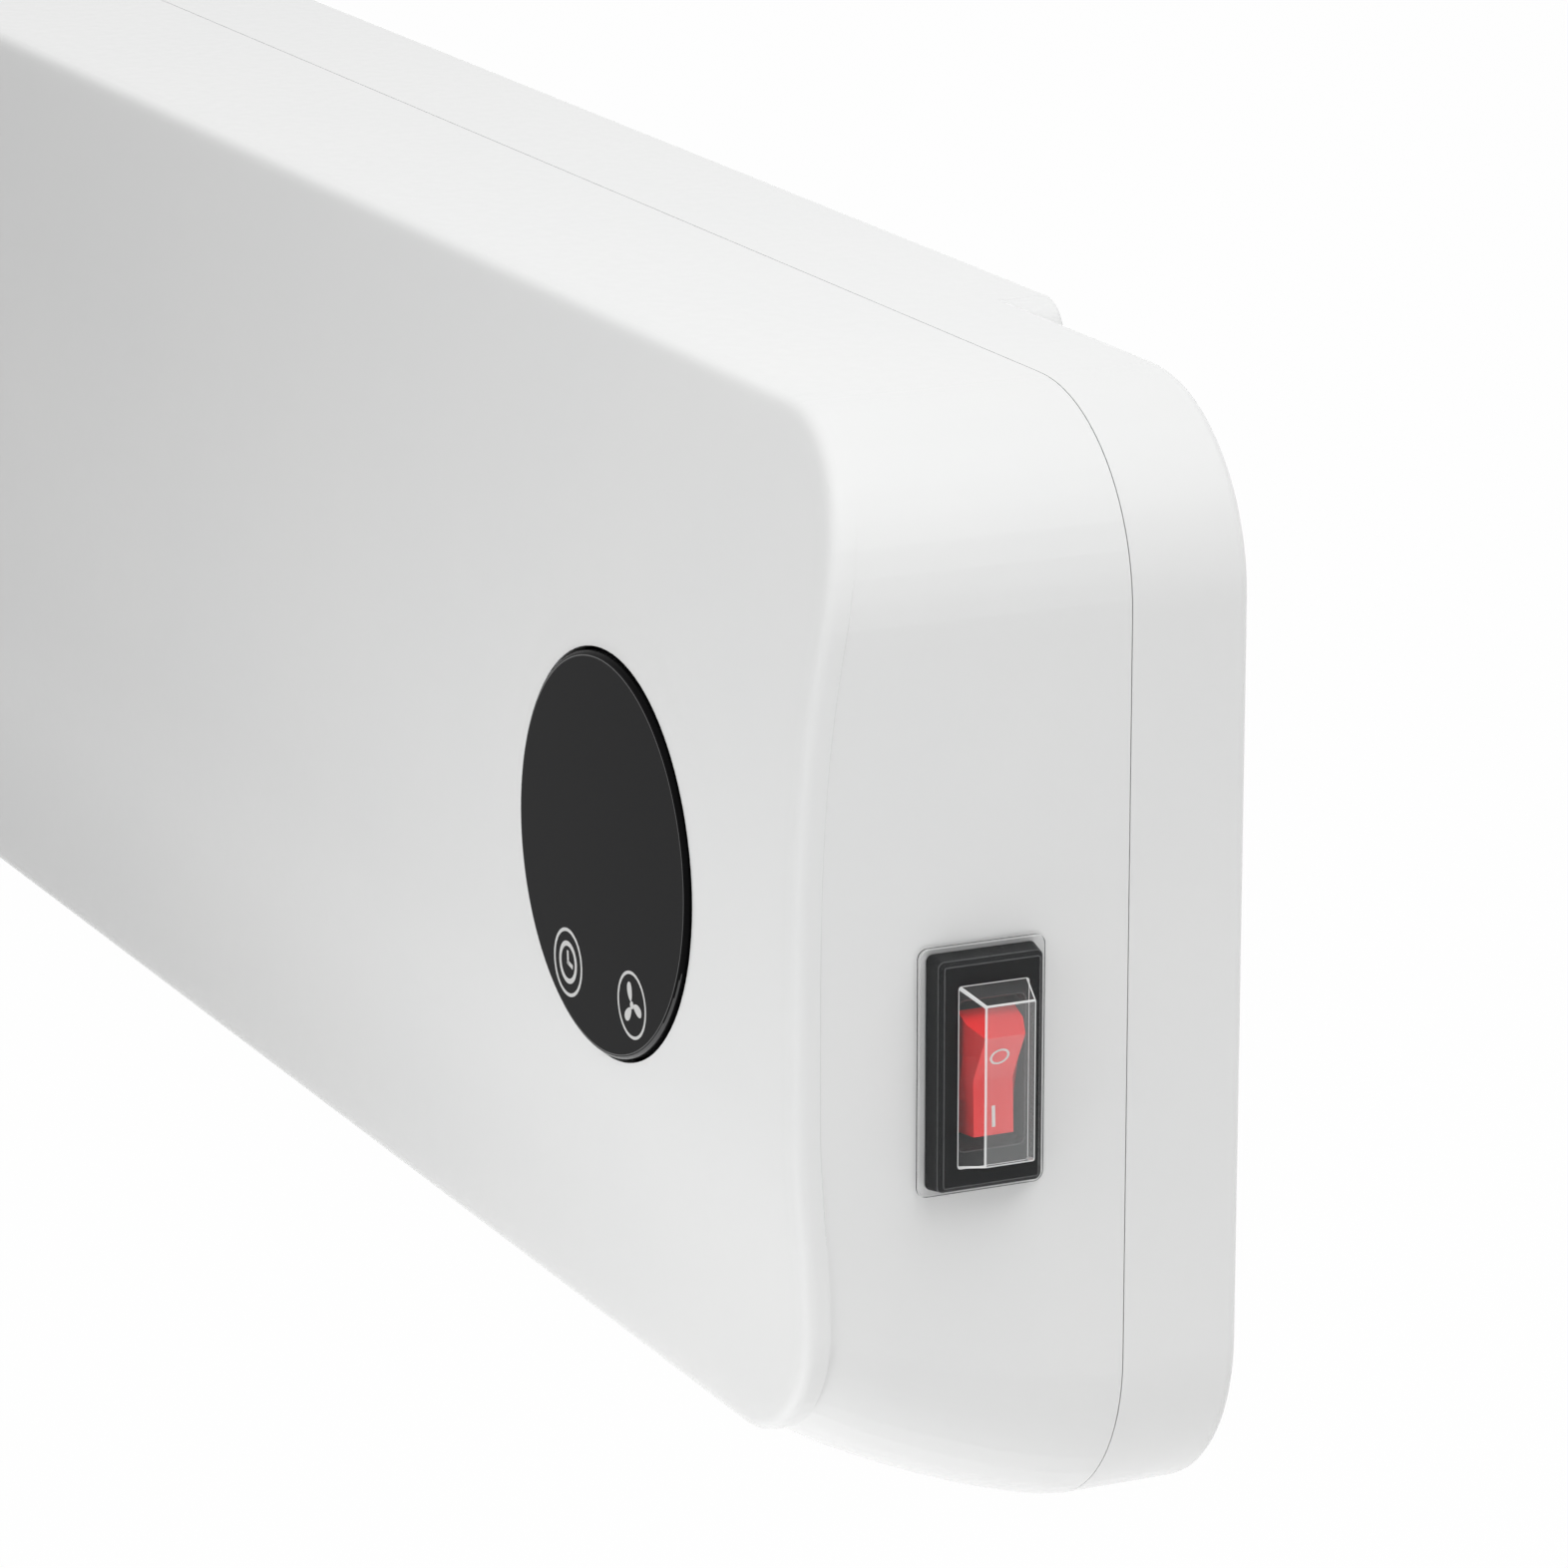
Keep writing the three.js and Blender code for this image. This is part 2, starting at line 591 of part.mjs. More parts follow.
// Rubber pads keep the lower back as far from the wall as the hanging block does.
function standoffPads() {
  [-1, 1].forEach((side) => {
    const pad = turned([
      [0, -WALL - 2], [PAD_STEM_RADIUS, -WALL - 2], [PAD_STEM_RADIUS, FIT], [PAD_RADIUS, FIT],
      [PAD_RADIUS - 0.6, BLOCK_DEPTH], [0, BLOCK_DEPTH],
    ], 14);
    const name = side < 0 ? 'standoff_pad_left' : 'standoff_pad_right';
    piece(name, turnedTo(pad, Y), rubber()).position.set((side * PAD_SPACING) / 2, REAR_DEPTH, PAD_HEIGHT);
  });
}

// Rubber grommet with a flange on each side of the lower wall; its hole lets the supply cord in.
function cableGland() {
  const [inner, neck, flange] = [GLAND_RADIUS * 0.66, GLAND_RADIUS, GLAND_RADIUS + 2.4];
  const bed = WALL + FIT;
  const gland = turned([
    [inner, -2], [flange - 1, -2], [flange, -FIT], [neck, -FIT], [neck, bed], [neck + 1.6, bed], [neck + 1.2, bed + 2],
    [inner, bed + 2], [inner, -2],
  ], 12);
  piece('cable_gland', gland, rubber()).position.set(GLAND_X, GLAND_Y, 0);
}

// ---------------------------------------------------------------- display

function display() {
  const back = DISC_PROUD - DISC_THICKNESS;
  const disc = turned([
    [0, back], [DISC_RADIUS, back], [DISC_RADIUS, DISC_PROUD - DISC_BEVEL], [DISC_RADIUS - DISC_BEVEL, DISC_PROUD],
    [0, DISC_PROUD],
  ], 40);
  piece('display_glass', inDisplay(disc), finish(0x111112, 0.08));

  const digitsBack = back - FIT - 3;
  const digits = box(
    -DIGITS_WIDTH / 2, DIGITS_WIDTH / 2, DIGITS_RISE - DIGITS_HEIGHT / 2, DIGITS_RISE + DIGITS_HEIGHT / 2,
    digitsBack, back - FIT,
  );
  piece('display_digits', inDisplay(digits), finish(0x262628, 0.4));

  const boardTop = -CUP_DEPTH - FIT;
  const boardRadius = CUP_RADIUS - 1;
  const board = alongZ(circle(0, 0, boardRadius), boardTop - BOARD_WALL, boardTop, 20);
  const screwRadius = DISC_RADIUS - DISC_LEDGE / 2;
  const places = [-1, 1].map((side) => [side * screwRadius, 0]);
  const holes = places.map(([u, v]) => alongZ(circle(u, v, 1.2 + FIT), boardTop - 3, boardTop + 1, 6));
  piece('display_board', inDisplay(combine([board], holes)), fibreBoard());

  [['touch_contact_timer', -TOUCH_REACH], ['touch_contact_mode', TOUCH_REACH - 3]].forEach(([name, u]) => {
    const post = alongZ(circle(u, -TOUCH_DROP, TOUCH_RADIUS), boardTop + FIT, back - FIT, 8);
    piece(name, inDisplay(post), steel());
  });
  const receiver = box(
    RECEIVER_REACH - RECEIVER_WIDTH / 2, RECEIVER_REACH + RECEIVER_WIDTH / 2, RECEIVER_RISE - RECEIVER_WIDTH / 2,
    RECEIVER_RISE + RECEIVER_WIDTH / 2, boardTop + FIT, back - FIT - 0.5,
  );
  piece('infrared_receiver', inDisplay(receiver), blackPlastic());
}

// ---------------------------------------------------------------- switch

const switchGroup = new THREE.Group();
switchGroup.position.set(HALF, SWITCH_Y, SWITCH_Z);
switchGroup.rotation.z = Math.PI / 2; // its own -Y points out of the case
caseGroup.add(switchGroup);

function switchRing(out, width, height, radius) {
  return roundedRing({
    right: width / 2,
    bottom: -height / 2,
    top: height / 2,
    lowRadius: radius,
    depth: () => -out,
    arcs: 3,
  });
}

// Clear cap: a base over the bezel and a tapered dome over the rocker, open behind.
function switchCover() {
  const base = BEZEL_DEPTH + FIT + COVER_WALL;
  const rise = DOME_REACH - base;
  const [baseWidth, baseHeight] = [BEZEL_WIDTH, BEZEL_HEIGHT];
  const [faceWidth, faceHeight] = [BEZEL_WIDTH - 2 * BEZEL_FACE_INSET, BEZEL_HEIGHT - 2 * BEZEL_FACE_INSET];
  const around = 2 * (FIT + COVER_WALL);
  const outside = combine([
    loft([switchRing(FIT, COVER_WIDTH, COVER_HEIGHT, 2.6), switchRing(FIT + COVER_FLANGE, COVER_WIDTH, COVER_HEIGHT, 2.6)]),
    loft([switchRing(FIT, baseWidth + around, baseHeight + around, 2.4),
      switchRing(base, faceWidth + around, faceHeight + around, 2)]),
    loft([switchRing(base - 0.5, DOME_WIDTH, DOME_HEIGHT, 4), switchRing(base + rise * 0.7, DOME_TOP_WIDTH + 1.6,
      DOME_TOP_HEIGHT + 1.4, 3.4), switchRing(DOME_REACH, DOME_TOP_WIDTH, DOME_TOP_HEIGHT, 3)]),
  ]);
  const thin = 2 * COVER_WALL;
  const gap = 2 * FIT;
  const inside = combine([
    loft([switchRing(-1, baseWidth + gap, baseHeight + gap, 2), switchRing(FIT, baseWidth + gap, baseHeight + gap, 2),
      switchRing(BEZEL_DEPTH + FIT, faceWidth + gap, faceHeight + gap, 1.6)]),
    loft([switchRing(BEZEL_DEPTH, DOME_WIDTH - thin, DOME_HEIGHT - thin, 3), switchRing(base + rise * 0.7 - 0.6,
      DOME_TOP_WIDTH + 1.6 - thin, DOME_TOP_HEIGHT + 1.4 - thin, 2.4), switchRing(DOME_REACH - COVER_WALL,
      DOME_TOP_WIDTH - thin, DOME_TOP_HEIGHT - thin, 2)]),
  ]);
  const cover = piece('switch_cover', combine([outside], [inside]), finish(0xe9eef2, 0.08), switchGroup);
  cover.material.transparent = true;
  cover.material.opacity = 0.35;
}

const WELL_WIDTH = ROCKER_WIDTH + 2 * FIT;
const WELL_HEIGHT = ROCKER_HEIGHT + 3.6;
const PIVOT_OUT = 1; // pivot line, outside the case wall

function switchBody() {
  const bezel = loft([
    switchRing(FIT, BEZEL_WIDTH, BEZEL_HEIGHT, 1.6),
    switchRing(BEZEL_DEPTH - 0.6, BEZEL_WIDTH - 2 * BEZEL_FACE_INSET, BEZEL_HEIGHT - 2 * BEZEL_FACE_INSET, 1.4),
    switchRing(BEZEL_DEPTH, BEZEL_WIDTH - 2 * BEZEL_FACE_INSET - 1.2, BEZEL_HEIGHT - 2 * BEZEL_FACE_INSET - 1.2, 1),
  ]);
  const halfWidth = SWITCH_BODY_WIDTH / 2;
  const halfHeight = SWITCH_BODY_HEIGHT / 2;
  const core = box(-halfWidth, halfWidth, -1, SWITCH_BODY_DEPTH, -halfHeight, halfHeight);
  const well = loft([switchRing(-9, WELL_WIDTH, WELL_HEIGHT, 1), switchRing(BEZEL_DEPTH + 1, WELL_WIDTH, WELL_HEIGHT, 1)]);
  const seats = [-1, 1].map((side) => {
    const outer = side * (WELL_WIDTH / 2 + 1.2);
    const inner = side * (WELL_WIDTH / 2 - 0.5);
    return alongX(circle(-PIVOT_OUT, 0, 1 + FIT), Math.min(outer, inner), Math.max(outer, inner), 12);
  });
  piece('switch_body', combine([bezel, core], [well, ...seats]), blackPlastic(), switchGroup);
}

// V-shaped key on two stub pins, resting with its upper half out.
function switchRocker() {
  const half = ROCKER_HEIGHT / 2;
  const lip = half - 0.75;
  const key = alongX(polygon([
    [-ROCKER_TIP, lip], [-ROCKER_WAIST, 0.5], [-ROCKER_WAIST, -0.5], [-ROCKER_TIP, -lip], [1.5, -half],
    [ROCKER_KEEL, -2], [ROCKER_KEEL, 2], [1.5, half],
  ]), -ROCKER_WIDTH / 2, ROCKER_WIDTH / 2);
  const taper = loft([
    switchRing(-8, ROCKER_WIDTH, ROCKER_HEIGHT + 4, 0.5), switchRing(2, ROCKER_WIDTH, ROCKER_HEIGHT + 4, 0.5),
    switchRing(ROCKER_TIP + 0.2, ROCKER_FACE_WIDTH, ROCKER_HEIGHT + 4, 0.5),
  ]);
  const shaped = geometryOf(solid(key).intersect(solid(taper)));
  const pins = alongX(circle(0, 0, 1), -WELL_WIDTH / 2 - 0.9, WELL_WIDTH / 2 + 0.9, 12);
  const rocker = piece('switch_rocker', combine([shaped, pins]), finish(0xa31216, 0.2), switchGroup);
  rocker.position.set(0, -PIVOT_OUT, 0);
  rocker.rotation.x = THREE.MathUtils.degToRad(ROCKER_TILT);
}

function switchTerminals() {
  const start = SWITCH_BODY_DEPTH + FIT;
  [-1, 1].forEach((side, i) => {
    const blade = alongX(polygon([
      [start, side * 7 - 3.1], [start + 7, side * 7 - 3.1], [start + 8, side * 7 - 1.6], [start + 8, side * 7 + 1.6],
      [start + 7, side * 7 + 3.1], [start, side * 7 + 3.1],
    ]), -0.4, 0.4);
    piece(`switch_terminal_${i + 1}`, blade, brass(), switchGroup);
  });
}

// ---------------------------------------------------------------- air path

const SCROLL_FRONT = FAN_Y - GUIDE_FRONT_Y; // fan axis to the front guide
const SCROLL_TOP = FAN_RADIUS + FAN_TIP_GAP;

function arcPoints(radiusFrom, radiusTo, fromDegrees, toDegrees, steps) {
  const points = [];
  for (let i = 0; i <= steps; i += 1) {
    const t = i / steps;
    const angle = THREE.MathUtils.degToRad(fromDegrees + (toDegrees - fromDegrees) * t);
    const radius = radiusFrom + (radiusTo - radiusFrom) * t;
    points.push([FAN_Y + radius * Math.cos(angle), FAN_Z + radius * Math.sin(angle)]);
  }
  return points;
}

// Guides run from the outlet's long edges, past the elements, to the fan.
function airGuides() {
  const [left, right] = [DUCT_LEFT + FIT, DUCT_RIGHT - FIT];
  const foot = (y) => chinZ(y) + WALL + FIT + 0.6;
  const front = [[GUIDE_FRONT_Y, foot(GUIDE_FRONT_Y)], ...arcPoints(SCROLL_FRONT, SCROLL_TOP, 180, 80, 10)];
  piece('air_guide_front', alongX(sheet(front, GUIDE_WALL), left, right), greyPlastic());

  const back = REAR_DEPTH - WALL - FIT - GUIDE_WALL / 2;
  const tongue = arcPoints(SCROLL_TOP + GUIDE_WALL / 2, SCROLL_TOP + GUIDE_WALL / 2, -74, -44, 4);
  const top = tongue[tongue.length - 1];
  const rear = [[GUIDE_REAR_Y, foot(GUIDE_REAR_Y)], [GUIDE_REAR_Y, ELEMENT_BOTTOM + ELEMENT_HEIGHT], ...tongue,
    [back, top[1] + 0.8]];
  piece('air_guide_rear', alongX(sheet(rear, GUIDE_WALL), left, right), greyPlastic());
}

function ductOutline() {
  const front = GUIDE_FRONT_Y - GUIDE_WALL / 2;
  const rear = REAR_DEPTH - WALL - FIT;
  const low = [];
  for (let i = 0; i <= 5; i += 1) {
    const y = front + ((OUTLET_REAR_Y + 2 - front) * i) / 5;
    low.push([y, chinZ(y) + WALL + FIT + 0.3]);
  }
  const crest = FAN_Z + SCROLL_TOP + 8;
  return polygon([
    ...low, [OUTLET_REAR_Y + 2, ELEMENT_BOTTOM], [rear, INTAKE_BOTTOM - 14], [rear, crest - 6], [rear - 6, crest],
    [FAN_Y - 14, crest], [front, FAN_Z + 14],
  ]);
}

const BEARING_RADIUS = 11;

function ductEnds() {
  const pinHole = (from, to) => alongX(circle(VANE_PIVOT_Y, VANE_PIVOT_Z, VANE_PIN_RADIUS + FIT), from, to, 8);
  const outline = ductOutline();
  const left = [DUCT_LEFT - DUCT_WALL, DUCT_LEFT];
  const leftCuts = [
    pinHole(left[0] - 1, left[1] + 1),
    alongX(circle(FAN_Y, FAN_Z, BEARING_RADIUS + FIT), left[0] - 1, left[1] + 1, 14),
    alongX(circle(VANE_PIVOT_Y, cutoutZ(), 6 + FIT), left[0] - 1, left[1] + 1, 12),
  ];
  piece('duct_end_left', combine([alongX(outline, ...left)], leftCuts), greyPlastic());
  const right = [DUCT_RIGHT, DUCT_RIGHT + DUCT_WALL];
  const rightCuts = [
    pinHole(right[0] - 1, right[1] + 1),
    alongX(circle(FAN_Y, FAN_Z, SHAFT_RADIUS + 3), right[0] - 1, right[1] + 1, 10),
  ];
  piece('duct_end_right', combine([alongX(outline, ...right)], rightCuts), greyPlastic());
}

// Vane that lies in the underside when shut and hangs at the front of the outlet when open.
function louvre() {
  const [left, right] = [OUTLET_LEFT + VANE_END_GAP, OUTLET_RIGHT - VANE_END_GAP];
  const [from, to] = [OUTLET_FRONT_Y + VANE_FRONT_GAP, OUTLET_REAR_Y - VANE_REAR_GAP];
  const outer = [];
  const inner = [];
  const steps = 8;
  for (let i = 0; i <= steps; i += 1) {
    const y = from + ((to - from) * i) / steps;
    outer.push([y, chinZ(y)]);
    inner.push([y, chinZ(y) + VANE_WALL]);
  }
  const skin = alongX(polygon(outer.concat(inner.reverse())), left, right);
  const earWidth = 9;
  const earFoot = (y) => chinZ(y) + VANE_WALL / 2;
  const ear = polygon([
    [VANE_PIVOT_Y - earWidth, earFoot(VANE_PIVOT_Y - earWidth)], [VANE_PIVOT_Y, earFoot(VANE_PIVOT_Y)],
    [VANE_PIVOT_Y + earWidth, earFoot(VANE_PIVOT_Y + earWidth)], [VANE_PIVOT_Y + 4.5, VANE_PIVOT_Z + 2],
    [VANE_PIVOT_Y + 2, VANE_PIVOT_Z + 4.5], [VANE_PIVOT_Y - 2, VANE_PIVOT_Z + 4.5],
    [VANE_PIVOT_Y - 4.5, VANE_PIVOT_Z + 2],
  ]);
  const earWall = 2.4;
  const middle = (left + right) / 2;
  const ears = [left, middle - earWall / 2, right - earWall].map((x) => alongX(ear, x, x + earWall));
  const pinLeft = alongX(circle(VANE_PIVOT_Y, VANE_PIVOT_Z, VANE_PIN_RADIUS), left - VANE_END_GAP - DUCT_WALL, left + 1);
  const pinRight = alongX(circle(VANE_PIVOT_Y, VANE_PIVOT_Z, VANE_PIN_RADIUS + 2), right - 8, right - earWall / 2);
  const socket = alongX(circle(VANE_PIVOT_Y, VANE_PIVOT_Z, VANE_PIN_RADIUS + FIT), right - 6, right + 1);
  piece('louvre_vane', combine([skin, ...ears, pinLeft, pinRight], [socket]), whitePlastic());

  const motorFace = DUCT_RIGHT + DUCT_WALL + FIT;
  const shaft = alongX(circle(VANE_PIVOT_Y, VANE_PIVOT_Z, VANE_PIN_RADIUS), right - 6 + FIT, motorFace + 0.8, 12);
  piece('louvre_shaft', shaft, steel());

  const can = alongX(circle(VANE_PIVOT_Y, VANE_PIVOT_Z, 9.6), motorFace + 1, motorFace + 16, 12);
  const lugs = alongX(roundedRectangle(
    VANE_PIVOT_Y - 3.5, VANE_PIVOT_Y + 3.5, VANE_PIVOT_Z - 9, VANE_PIVOT_Z + 16, 3,
  ), motorFace, motorFace + 1.2, 3);
  const nose = alongX(circle(VANE_PIVOT_Y, VANE_PIVOT_Z, VANE_PIN_RADIUS + FIT), motorFace - 1, motorFace + 1 + FIT, 8);
  piece('louvre_motor', combine([can, lugs], [nose]), steel());
}

// ---------------------------------------------------------------- fan

// Drum of forward-curved blades between discs.
function impeller() {
  const [left, right] = [FAN_LEFT, FAN_RIGHT];
  const steps = 2;
  const rim = FAN_RADIUS - 0.8;
  const root = rim - BLADE_CHORD * 0.82;
  const blades = [];
  for (let b = 0; b < FAN_BLADES; b += 1) {
    const turn = (b / FAN_BLADES) * Math.PI * 2;
    const points = [];
    for (let i = 0; i <= steps; i += 1) {
      const t = i / steps;
      const radius = root + (rim - root) * t;
      const angle = turn + 0.26 * (1 - t) ** 2;
      points.push([FAN_Y + radius * Math.cos(angle), FAN_Z + radius * Math.sin(angle)]);
    }
    blades.push(alongX(sheet(points, BLADE_WALL), left + FAN_DISC / 2, right - FAN_DISC / 2));
  }
  const third = (right - left) / 3;
  const discAt = (x) => {
    const shape = circle(FAN_Y, FAN_Z, FAN_RADIUS);
    shape.holes.push(circle(FAN_Y, FAN_Z, root + 1.2));
    return alongX(shape, x - FAN_DISC / 2, x + FAN_DISC / 2, FAN_BLADES);
  };
  const discs = [left + third, right - third].map(discAt);
  const ends = [[left, left + FAN_DISC], [right - FAN_DISC, right]].map(([from, to]) => (
    alongX(circle(FAN_Y, FAN_Z, FAN_RADIUS), from, to, FAN_BLADES)
  ));
  const hubs = [[left, left + 12], [right - 12, right]].map(([from, to]) => alongX(circle(FAN_Y, FAN_Z, 7), from, to, 10));
  const bores = [[left - 1, left + 13], [right - 13, right + 1]].map(([from, to]) => (
    alongX(circle(FAN_Y, FAN_Z, SHAFT_RADIUS + FIT), from, to, 10)
  ));
  piece('fan_impeller', combine([...ends, ...discs, ...hubs, ...blades], bores), blackPlastic());
}

function shafts() {
  const axle = (name, from, to) => {
    const bar = turned([[0, 0], [SHAFT_RADIUS - 0.4, 0], [SHAFT_RADIUS, 0.4], [SHAFT_RADIUS, to - from - 0.4],
      [SHAFT_RADIUS - 0.4, to - from], [0, to - from]], 8);
    piece(name, turnedTo(bar, X), steel()).position.set(from, FAN_Y, FAN_Z);
  };
  axle('left_stub_shaft', DUCT_LEFT - DUCT_WALL - 6, FAN_LEFT + 11);
  axle('motor_shaft', FAN_RIGHT - 11, MOTOR_X + MOTOR_STACK / 2 + 9);

  const bush = turned([[SHAFT_RADIUS + FIT, 0], [SHAFT_RADIUS + 3, 0], [SHAFT_RADIUS + 3, 7], [SHAFT_RADIUS + FIT, 7],
    [SHAFT_RADIUS + FIT, 0]], 10);
  piece('bearing_bush', turnedTo(bush, X), brass()).position.set(DUCT_LEFT - DUCT_WALL - 3.5, FAN_Y, FAN_Z);
  const seat = SHAFT_RADIUS + 3 + FIT;
  const outside = -FIT;
  const mount = turned([
    [seat, outside - 3.5], [BEARING_RADIUS + 2.5, outside - 3.5], [BEARING_RADIUS + 2.5, outside],
    [BEARING_RADIUS, outside], [BEARING_RADIUS, DUCT_WALL + 1], [seat, DUCT_WALL + 1], [seat, outside - 3.5],
  ], 14);
  piece('bearing_mount', turnedTo(mount, X), rubber()).position.set(DUCT_LEFT - DUCT_WALL, FAN_Y, FAN_Z);
}

// Shaded-pole motor: a C-shaped stack with its coil on the upper limb.
function motor() {
  const [from, to] = [MOTOR_X - MOTOR_STACK / 2, MOTOR_X + MOTOR_STACK / 2];
  const half = MOTOR_WIDTH / 2;
  const bore = ROTOR_RADIUS + 0.4;
  const window = [bore + 4.5, bore + 17];
  const limb = 11;
  const crest = FAN_Z + window[1] + limb;
  const outline = polygon([
    [FAN_Y - half, FAN_Z - half + 6], [FAN_Y - half + 6, FAN_Z - half], [FAN_Y + half - 6, FAN_Z - half],
    [FAN_Y + half, FAN_Z - half + 6], [FAN_Y + half, crest], [FAN_Y - half, crest],
  ]);
  outline.holes.push(circle(FAN_Y, FAN_Z, bore));
  outline.holes.push(rectangle(FAN_Y - half + 8, FAN_Y + half - 8, FAN_Z + window[0], FAN_Z + window[1]));
  piece('motor_stator', alongX(outline, from, to, 16), finish(0x6f7478, 0.5, 1));

  const low = FAN_Z + window[0] + 2;
  const coil = combine(
    [box(from - 4, to + 4, FAN_Y - half + 9, FAN_Y + half - 9, low, crest + 5)],
    [box(from - FIT, to + FIT, FAN_Y - half, FAN_Y + half, FAN_Z + window[1] - FIT, crest + FIT)],
  );
  piece('motor_coil', coil, finish(0x9a4a1e, 0.45));

  const rotor = alongX(circle(FAN_Y, FAN_Z, ROTOR_RADIUS), from, to, 16);
  const bored = alongX(circle(FAN_Y, FAN_Z, SHAFT_RADIUS + FIT), from - 1, to + 1, 8);
  piece('motor_rotor', combine([rotor], [bored]), finish(0x8c9094, 0.4, 1));

  [['motor_bracket_inner', -1], ['motor_bracket_outer', 1]].forEach(([name, side]) => {
    const face = side < 0 ? from - FIT : to + FIT;
    const plate = [face, face + side * BRACKET_WALL].sort((a, b) => a - b);
    const reach = side < 0 ? DUCT_RIGHT + DUCT_WALL + FIT : face + BRACKET_HUB_REACH;
    const hub = [face + side * BRACKET_WALL * 0.5, reach].sort((a, b) => a - b);
    const tall = BRACKET_HEIGHT / 2;
    const strap = roundedRectangle(FAN_Y - half, FAN_Y + half, FAN_Z - tall, FAN_Z + tall, 4);
    const adds = [alongX(strap, ...plate, 3), alongX(circle(FAN_Y, FAN_Z, BRACKET_HUB_RADIUS), ...hub, 8)];
    const shaftHole = alongX(circle(FAN_Y, FAN_Z, SHAFT_RADIUS + FIT), hub[0] - 3, hub[1] + 3, 8);
    piece(name, combine(adds, [shaftHole]), steel());
  });
}

// ---------------------------------------------------------------- heater

function cutoutZ() {
  return ELEMENT_BOTTOM + ELEMENT_HEIGHT / 2 + 20;
}

// Finned bar: a flat core with straight fins on both sides, open for the air to pass downwards.
function finnedBar(y0, y1, x0, x1, coreX0, coreX1) {
  const middle = (y0 + y1) / 2;
  const [coreLow, coreHigh] = [middle - ELEMENT_CORE / 2, middle + ELEMENT_CORE / 2];
  const count = Math.floor((x1 - x0) / FIN_PITCH);
  const first = (x0 + x1) / 2 - ((count - 1) * FIN_PITCH) / 2;
  const row = (root, tip) => {
    const points = [];
    for (let i = 0; i < count; i += 1) {
      const u = first + i * FIN_PITCH;
      points.push([u - FIN_WALL / 2, root], [u - FIN_WALL / 2, tip], [u + FIN_WALL / 2, tip], [u + FIN_WALL / 2, root]);
    }
    return points;
  };
  const shape = polygon([[coreX0, coreHigh], ...row(coreHigh, y1), [coreX1, coreHigh], [coreX1, coreLow],
    ...row(coreLow, y0).reverse(), [coreX0, coreLow]]);
  return alongZ(shape, ELEMENT_BOTTOM, ELEMENT_BOTTOM + ELEMENT_HEIGHT);
}

function heatingElements() {
  const front = GUIDE_FRONT_Y + GUIDE_WALL / 2 + FIT;
  const rear = GUIDE_REAR_Y - GUIDE_WALL / 2 - FIT;
  const middle = (front + rear) / 2;
  const spans = [[front, middle - ELEMENT_GAP / 2], [middle + ELEMENT_GAP / 2, rear]];
  const names = ['heating_element_front', 'heating_element_rear'];
  const [left, right] = [DUCT_LEFT + FIT + HOLDER_WIDTH, DUCT_RIGHT - FIT - HOLDER_WIDTH];
  spans.forEach(([y0, y1], i) => {
    const bar = finnedBar(y0, y1, left + 2, right - 2, left - HOLDER_WIDTH / 2, right + HOLDER_WIDTH / 2);
    piece(names[i], bar, aluminium());
  });
  [['element_holder_left', left - HOLDER_WIDTH], ['element_holder_right', right]].forEach(([name, x]) => {
    const block = box(x, x + HOLDER_WIDTH, front, rear, ELEMENT_BOTTOM - 1.5, ELEMENT_BOTTOM + ELEMENT_HEIGHT + 1.5);
    const pockets = spans.map(([y0, y1]) => {
      const centre = (y0 + y1) / 2;
      const half = ELEMENT_CORE / 2 + FIT;
      const inward = name.endsWith('left') ? [x + HOLDER_WIDTH / 2 - FIT, x + HOLDER_WIDTH + 1]
        : [x - 1, x + HOLDER_WIDTH / 2 + FIT];
      return box(...inward, centre - half, centre + half, ELEMENT_BOTTOM - FIT, ELEMENT_BOTTOM + ELEMENT_HEIGHT + FIT);
    });
    piece(name, combine([block], pockets), finish(0x3a352f, 0.6));
  });

  const plate = DUCT_LEFT - DUCT_WALL;
  const cutout = turned([[0, -9], [8, -9], [8, -FIT], [6, -FIT], [6, DUCT_WALL + 0.5], [0, DUCT_WALL + 0.5]], 12);
  piece('thermal_cutout', turnedTo(cutout, X), finish(0x4b4540, 0.6)).position.set(plate, VANE_PIVOT_Y, cutoutZ());
  const fuse = turned([[0, 0], [2.2, 0.6], [2.2, 11.4], [0, 12]], 8);
  piece('thermal_fuse', fuse, steel()).position.set(plate - FIT - 2.2, VANE_PIVOT_Y + 16, ELEMENT_BOTTOM);
}

// ---------------------------------------------------------------- control board

function boardScrewPlaces() {
  const inset = BOARD_SCREW_INSET;
  return [[BOARD_LEFT + inset, BOARD_BOTTOM + inset], [BOARD_RIGHT - inset, BOARD_TOP - inset]];
}

